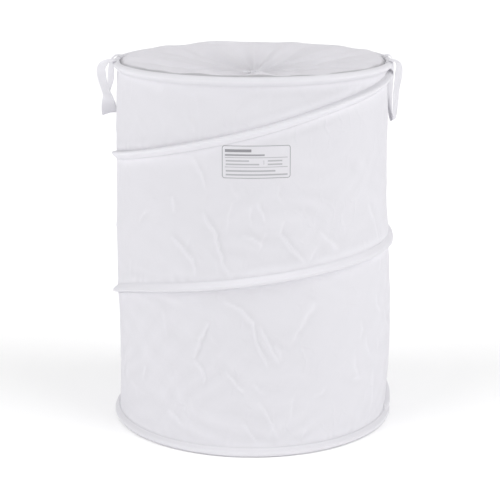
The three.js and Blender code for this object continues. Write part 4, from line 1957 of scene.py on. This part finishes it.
# The rows of both ribbons, nearly as in the CAD: outwards in bulges, along the rim in half
# spreads, down in drops, turn in half turns, and how far the width leans up
LEFT_ROWS = (
    (0, -1, 0, 0, 0),
    (0.36, -0.99, 0.015, 0.1, 0),
    (0.7, -0.93, 0.1, 0.2, 0),
    (0.83, -0.82, 0.22, 0.23, 0),
    (0.79, -0.66, 0.38, 0.23, 0),
    (0.66, -0.48, 0.55, 0.23, 0),
    (0.55, -0.36, 0.67, 0.26, -0.05),
    (0.54, -0.27, 0.82, 0.38, -0.25),
    (0.54, 0, 1, 0.55, -0.3),
    (0.54, 0.27, 0.82, 0.76, -0.25),
    (0.54, 0.36, 0.67, 0.98, -0.05),
    (0.52, 0.48, 0.55, 1.1, 0),
    (0.48, 0.66, 0.38, 1.15, 0),
    (0.48, 0.82, 0.22, 1.14, 0),
    (0.46, 0.93, 0.1, 1.08, 0),
    (0.28, 0.99, 0.015, 1.02, 0),
    (0, 1, 0, 1, 0),
)
RIGHT_ROWS = (
    (0, -1, 0, 0, 0),
    (0.3, -0.99, 0.019, 0.06, 0),
    (0.5, -0.93, 0.11, 0.16, 0),
    (0.54, -0.76, 0.27, 0.18, 0),
    (0.48, -0.5, 0.5, 0.15, 0),
    (0.48, -0.24, 0.74, 0.13, 0),
    (0.46, -0.06, 0.94, 0.1, 0),
    (0.36, 0, 1, 0.1, 0),
    (0.26, 0.06, 0.94, 0.1, 0),
    (0.21, 0.24, 0.74, 0.12, 0),
    (0.24, 0.5, 0.5, 0.13, 0),
    (0.33, 0.76, 0.27, 0.12, 0),
    (0.38, 0.93, 0.11, 0.06, 0),
    (0.27, 0.99, 0.012, 0, 0),
    (0, 1, 0, 0, 0),
)


# Geometry Nodes


class PathTree:
    """A Geometry Nodes group that works along a path, and the way that it is run."""

    def __init__(self, name: str, *numbers: str) -> None:
        """Start the group with its path.

        Args:
            name: Name of the group.
            *numbers: Names of the numbers that it takes.
        """
        takes = {"Geometry": Port.GEOMETRY, **dict.fromkeys(numbers, Port.NUMBER), "Finish": Port.MATERIAL}
        self.group = GroupTree(name, "GeometryNodeTree", "Result", Port.GEOMETRY, **takes)
        self.graph = self.group.graph
        self.curve = self._node("GeometryNodeMeshToCurve", Mesh=self.group["Geometry"])

    def _node(self, kind: str, **inputs: Any) -> Socket:
        """Add a node, and return its first output."""
        inputs = {label.replace("_", " "): value for label, value in inputs.items()}
        return self.graph.add(kind, inputs).outputs[0]

    def _tube(self, path: Any, radius: Any, sides: int) -> Socket:
        """Sweep a closed round thread along a curve."""
        section = self._node("GeometryNodeCurvePrimitiveCircle", Resolution=sides, Radius=radius)
        return self._node("GeometryNodeCurveToMesh", Curve=path, Profile_Curve=section, Fill_Caps=True)

    def _give(self, made: Any) -> None:
        """Give out what the group has made, as a plain mesh in its finish."""
        real = self._node("GeometryNodeRealizeInstances", Geometry=made)
        self.group.give(self._node("GeometryNodeSetMaterial", Geometry=real, Material=self.group["Finish"]))

    def run(self, name: str, lines: Sequence[Line], **values: Any) -> Piece:
        """Run the group along open lines and keep the result as a plain mesh.

        Args:
            name: Name of the new piece.
            lines: The paths.
            **values: The group's inputs, by their labels.

        Returns:
            The new object, without its modifier.
        """
        path = self._path_mesh(name, lines)
        piece = add_object(name, path)
        modifier = piece.modifiers.new("Path", "NODES")
        modifier.node_group = self.graph.tree
        for label, value in values.items():
            modifier[self.group.identifiers[label]] = value
        depsgraph = bpy.context.evaluated_depsgraph_get()
        made = bpy.data.meshes.new_from_object(piece.evaluated_get(depsgraph))
        made.name = name
        piece.modifiers.clear()
        piece.data = made
        bpy.data.meshes.remove(path)
        piece.data.shade_smooth()
        if piece.data.attributes.get("outward"):
            piece.data.attributes.remove(piece.data.attributes["outward"])
        return piece

    @staticmethod
    def _path_mesh(name: str, lines: Sequence[Line]) -> Mesh:
        """Make a mesh of open lines whose points know which way is outwards.

        Args:
            name: Name of the piece that the lines are for.
            lines: The paths.

        Returns:
            The mesh.
        """
        points, edges, outward = [], [], []
        for line, facing in lines:
            start = len(points)
            points += line.tolist()
            outward.append(np.broadcast_to(facing, line.shape))
            edges += [(start + i, start + i + 1) for i in range(len(line) - 1)]
        mesh = bpy.data.meshes.new(name + "_path")
        mesh.from_pydata(points, edges, [])
        layer = mesh.attributes.new("outward", "FLOAT_VECTOR", "POINT")
        layer.data.foreach_set("vector", np.concatenate(outward).astype(np.float32).reshape(-1))
        return mesh


class WireTree(PathTree):
    """Round wire along a path, closed at its ends."""

    SIDES = 12

    def __init__(self) -> None:
        """Build the group."""
        super().__init__("Drawn wire", "Radius")
        self._give(self._tube(self.curve, self.group["Radius"], self.SIDES))


class StitchTree(PathTree):
    """Rows of stitches along paths: one short arched thread at every step."""

    SIDES, STEPS = 5, 4
    THREAD = 0.42 * MM
    RISE = 0.22 * MM  # of a stitch's arch

    def __init__(self) -> None:
        """Build the group."""
        super().__init__("Thread stitches", "Pitch", "Length", "Thread", "Rise")
        steps = self.graph.add(
            "GeometryNodeResampleCurve", {"Curve": self.curve, "Length": self.group["Pitch"]}, mode="LENGTH"
        )
        self._give(self._node(
            "GeometryNodeInstanceOnPoints", Points=steps.outputs[0], Instance=self._stitch(),
            Rotation=self._facing(),
        ))

    def _stitch(self) -> Socket:
        """One stitch: a thin round thread that arches up between its two holes.

        Returns:
            Its mesh.
        """
        g, group = self.graph, self.group
        half = g.math("DIVIDE", group["Length"], 2.0)
        start = self._node("ShaderNodeCombineXYZ", X=g.math("MULTIPLY", half, -1.0))
        middle = self._node("ShaderNodeCombineXYZ", Z=g.math("MULTIPLY", group["Rise"], 2.0))
        end = self._node("ShaderNodeCombineXYZ", X=half)
        arch = self._node(
            "GeometryNodeCurveQuadraticBezier", Resolution=self.STEPS, Start=start, Middle=middle, End=end
        )
        return self._tube(arch, g.math("DIVIDE", group["Thread"], 2.0), self.SIDES)

    def _facing(self) -> Socket:
        """Turn a stitch along its path, with its arch outwards.

        Returns:
            The rotations.
        """
        g, align = self.graph, "FunctionNodeAlignRotationToVector"
        along = g.add(align, {"Vector": self._node("GeometryNodeInputTangent")}, axis="X")
        outward = g.add("GeometryNodeInputNamedAttribute", {"Name": "outward"}, data_type="FLOAT_VECTOR")
        inputs = {"Rotation": along.outputs[0], "Vector": outward.outputs["Attribute"]}
        return g.add(align, inputs, axis="Z", pivot_axis="X").outputs[0]

    def sew(
        self,
        name: str,
        lines: Sequence[Line],
        finish: Material,
        pitch: float = 3.3 * MM,
        length: float = 2.4 * MM,
    ) -> Piece:
        """Sew stitches of a length along lines, one at every pitch, as one piece."""
        sizes = {"Pitch": pitch, "Length": length, "Thread": self.THREAD, "Rise": self.RISE}
        return self.run(name, lines, **sizes, Finish=finish)


# Studio


@dataclass(frozen=True)
class Softbox:
    """A large, distant studio light, given by where it stands as seen from the hamper."""

    name: str
    azimuth: float  # degrees to the right of the camera
    strength: float
    elevation: float = 36.0  # degrees above level
    spread: float = 50.0  # degrees across

    def build(self) -> None:
        """Put the light in the scene."""
        data = bpy.data.lights.new(self.name, "SUN")
        data.angle = math.radians(self.spread)
        data.energy = self.strength
        turned = (math.radians(90 - self.elevation), 0.0, math.radians(self.azimuth))
        add_object(self.name, data).rotation_euler = turned


@dataclass(frozen=True)
class Studio:
    """Pale floor, soft light and the camera."""

    sensor: float = 36.0
    lens: float = 107.62
    camera_place: tuple[float, float, float] = (-0.0037, -2.0261, 0.7568)
    camera_pitch: float = 14.536  # degrees below level
    floor_size: float = 200.0
    sky: float = 0.70
    lights: tuple[Softbox, ...] = (
        Softbox("right softbox", 66.0, 0.46 * math.pi),
        Softbox("left softbox", -66.0, 0.40 * math.pi),
    )
    floor: SolidFinish = SolidFinish(
        "pale floor", (0.96, 0.96, 0.96), 0.9, tone_amount=0.004, tone_size=0.5,
        grain_size=2 * MM, roughness_swing=0.01,
    )

    def build(self, effects: ShaderEffects) -> None:
        """Set up everything round the hamper.

        Args:
            effects: The shared shader groups.
        """
        self._camera()
        self._floor(effects)
        world = bpy.data.worlds.new("studio")
        world.use_nodes = True
        background = world.node_tree.nodes["Background"]
        background.inputs["Color"].default_value = (1.0, 1.0, 1.0, 1.0)
        background.inputs["Strength"].default_value = self.sky
        bpy.context.scene.world = world
        bpy.context.scene.view_settings.view_transform = "Standard"
        for light in self.lights:
            light.build()

    def _camera(self) -> None:
        """Stand the camera in front, looking slightly down."""
        data = bpy.data.cameras.new("camera")
        data.sensor_width = self.sensor
        data.lens = self.lens
        camera = add_object("camera", data)
        camera.location = self.camera_place
        camera.rotation_euler = (math.radians(90 - self.camera_pitch), 0.0, 0.0)
        bpy.context.scene.camera = camera

    def _floor(self, effects: ShaderEffects) -> None:
        """Lay a wide pale floor, bright enough to fade into the background.

        Args:
            effects: The shared shader groups.
        """
        half = self.floor_size / 2
        mesh = bpy.data.meshes.new("studio_floor")
        places = [(-half, -half, 0), (half, -half, 0), (half, half, 0), (-half, half, 0)]
        mesh.from_pydata(places, [], [(0, 1, 2, 3)])
        mesh.materials.append(self.floor.material(effects))
        floor = add_object("studio_floor", mesh)


# Assembly


@dataclass
class Hamper(Part):
    """The whole hamper: every sub-assembly, built and set to move with its body."""

    flat_share: float = 0.0515  # of its height that the wall keeps when the hamper is flat
    ribbon_slope: float = 30.0  # degrees down from level at which the ribbons then lie
    stitched: tuple[float, float] = (0.001, 0.999)  # shares of the spiral between which its tape is sewn
    seam_inset: float = 4 * MM  # of the seam's stitches from the rolls
    seam_share: float = 0.3  # of the seam tape's width from its middle to its stitches

    def settle(self, piece: Piece, body: str, slot: str, *nodes: str) -> Piece:
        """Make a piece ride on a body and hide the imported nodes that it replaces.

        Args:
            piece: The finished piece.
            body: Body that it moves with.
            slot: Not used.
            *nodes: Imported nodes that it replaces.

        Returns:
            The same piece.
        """
        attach(piece, body)
        if nodes:
            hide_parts(*nodes)
        self.report(piece, body)
        return piece

    def report(self, piece: Piece, body: str) -> None:
        """Log a finished piece."""
        log.info("%s: %d faces, on %s", piece.name, len(piece.data.polygons), body)

    def build(self) -> None:
        """Build every sub-assembly in turn."""
        self.stitches = StitchTree()
        self._build_rims()
        self._build_wall()
        self._build_collar()
        self._build_handles()
        self._dress_fittings()

    def _build_rims(self) -> None:
        """Make both rolls and the base panel."""
        shape, finishes = self.shape, self.finishes
        rolls = []
        for name, body, radius, height, way, seed in (
            ("top", "top", shape.top_radius, shape.top_height, Way.DOWN, 3),
            ("bottom", "base", shape.bottom_radius, shape.bottom_height, Way.UP, 4),
        ):
            roll = RimBinding(shape, finishes, f"{name}_rim_roll", radius, height, way, seed=seed)
            self.settle(roll.build(), body, "white_tape", f"{name}_rim_binding")
            rolls.append((f"{name}_rim_stitches", roll, body))
        panel = BasePanel(shape, finishes)
        disc = self.settle(panel.build(), "base", "white_fabric", "bottom_panel")
        for name, roll, body in rolls:
            rows = [roll.stitch_line(side) for side in (1, -1)]
            self.settle(self.stitches.sew(name, rows, finishes.thread), body, "white_tape")

    def _seams(self, wall: Wall, casing: SpiralCasing) -> list[Line]:
        """Lines of the stitches along the spiral's tape and the upright seam.

        Args:
            wall: The wall that they are sewn to.
            casing: The spiral's tape.

        Returns:
            The lines.
        """
        shape, rows = self.shape, []
        share = np.linspace(*self.stitched, 1400)
        for side in (-1, 1):
            angle, height, radius = casing.edges(share, side)
            rows.append((ring(radius, angle, height), ring(1.0, angle, 0.0)))
        heights = np.linspace(shape.wall_low + self.seam_inset, shape.wall_high - self.seam_inset, 300)
        for side in (-1, 1):
            angle = wall.seam_angle + side * self.seam_share * wall.seam_width / shape.top_radius
            radius = wall.surface(np.array([angle]), heights)[:, 0] + SEWN_GAP
            rows.append((ring(radius, angle, heights), ring(1.0, angle, 0.0)))
        return rows

    def _build_wall(self) -> None:
        """Make the wall, the spiral and everything sewn to the wall."""
        shape, finishes = self.shape, self.finishes
        wall, casing = Wall(shape, finishes), SpiralCasing(shape, finishes)
        cloth = self.settle(wall.build(), "base", "white_fabric", "wall_fabric")
        seam = self.settle(wall.build_seam_tape(), "base", "white_tape", "side_seam_tape")
        tape = self.settle(casing.build_tape(), "base", "white_tape", "spiral_casing")
        wire = self.settle(casing.build_wire(WireTree()), "base", "spring_steel", "spiral_wire")
        sewn = self.stitches.sew("wall_stitches", self._seams(wall, casing), finishes.thread)
        self.settle(sewn, "base", "white_tape")
        for piece in (cloth, seam, tape, wire, sewn):
            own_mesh(piece)

    def _build_collar(self) -> None:
        """Make the net and its gathered hem."""
        collar = NetCollar(self.shape, self.finishes)
        self.settle(collar.build_hem(), "hem", "white_tape", "collar_hem")
        for k, gore in enumerate(collar.build_gores()):
            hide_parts("mesh_collar")
            angle = TURN * (k + 1 / 2) / collar.gores
            start = ring(collar.rim_radius - collar.blend_inset, angle, self.shape.rim)
            end = ring(collar.inner_radius + collar.blend_inset, angle, self.shape.rim)
            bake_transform(gore)
            self.report(gore, "top and hem")

    def _build_handles(self) -> None:
        """Make both ribbon loops and their sewn ends."""
        for name, side, drop, rows in (
            ("left", -1, 76 * MM, LEFT_ROWS),
            ("right", 1, 85 * MM, RIGHT_ROWS),
        ):
            handle = RibbonHandle(self.shape, self.finishes, name, side, drop, rows)
            loop = self.settle(handle.build_loop(), f"{name}_loop", "white_ribbon", f"{name}_handle")
            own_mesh(loop)
            ends = [self.settle(handle.build_tab(end), "top", "white_ribbon") for end in (-1, 1)]
            handle.length
            tacks = self.stitches.sew(f"{name}_ribbon_tacks", handle.tack_lines(), self.finishes.thread,
                                      pitch=1.6 * MM, length=1.5 * MM)
            self.settle(tacks, "top", "white_ribbon")

    def _dress_fittings(self) -> None:
        """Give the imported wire, sleeve and cap nodes their finishes."""
        steel, plastic = self.finishes.steel, self.finishes.plastic
        dressed = {f"{end}_hoop_{part}": steel for part in ("wire", "ferrule") for end in ("top", "bottom")}
        dressed |= {f"spiral_{end}_end_cap": plastic for end in ("lower", "upper")}
        for node, material in dressed.items():
            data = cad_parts[node].data
            data.materials.clear()
            data.materials.append(material)
            log.info("%s: packed node, finish %s", node, material.name)


def corners(box: tuple[Any, Any]) -> list[list[float]]:
    """A box's two corners as plain lists."""
    return [[float(value) for value in corner] for corner in box]


def main() -> None:
    """Build the hamper and its studio."""
    logging.basicConfig(level=logging.INFO, format="%(message)s")
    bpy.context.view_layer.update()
    effects = ShaderEffects()
    Studio().build(effects)
    Hamper(HamperShape.from_frame(), Finishes(effects)).build()
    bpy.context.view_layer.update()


if __name__ == "__main__":
    main()
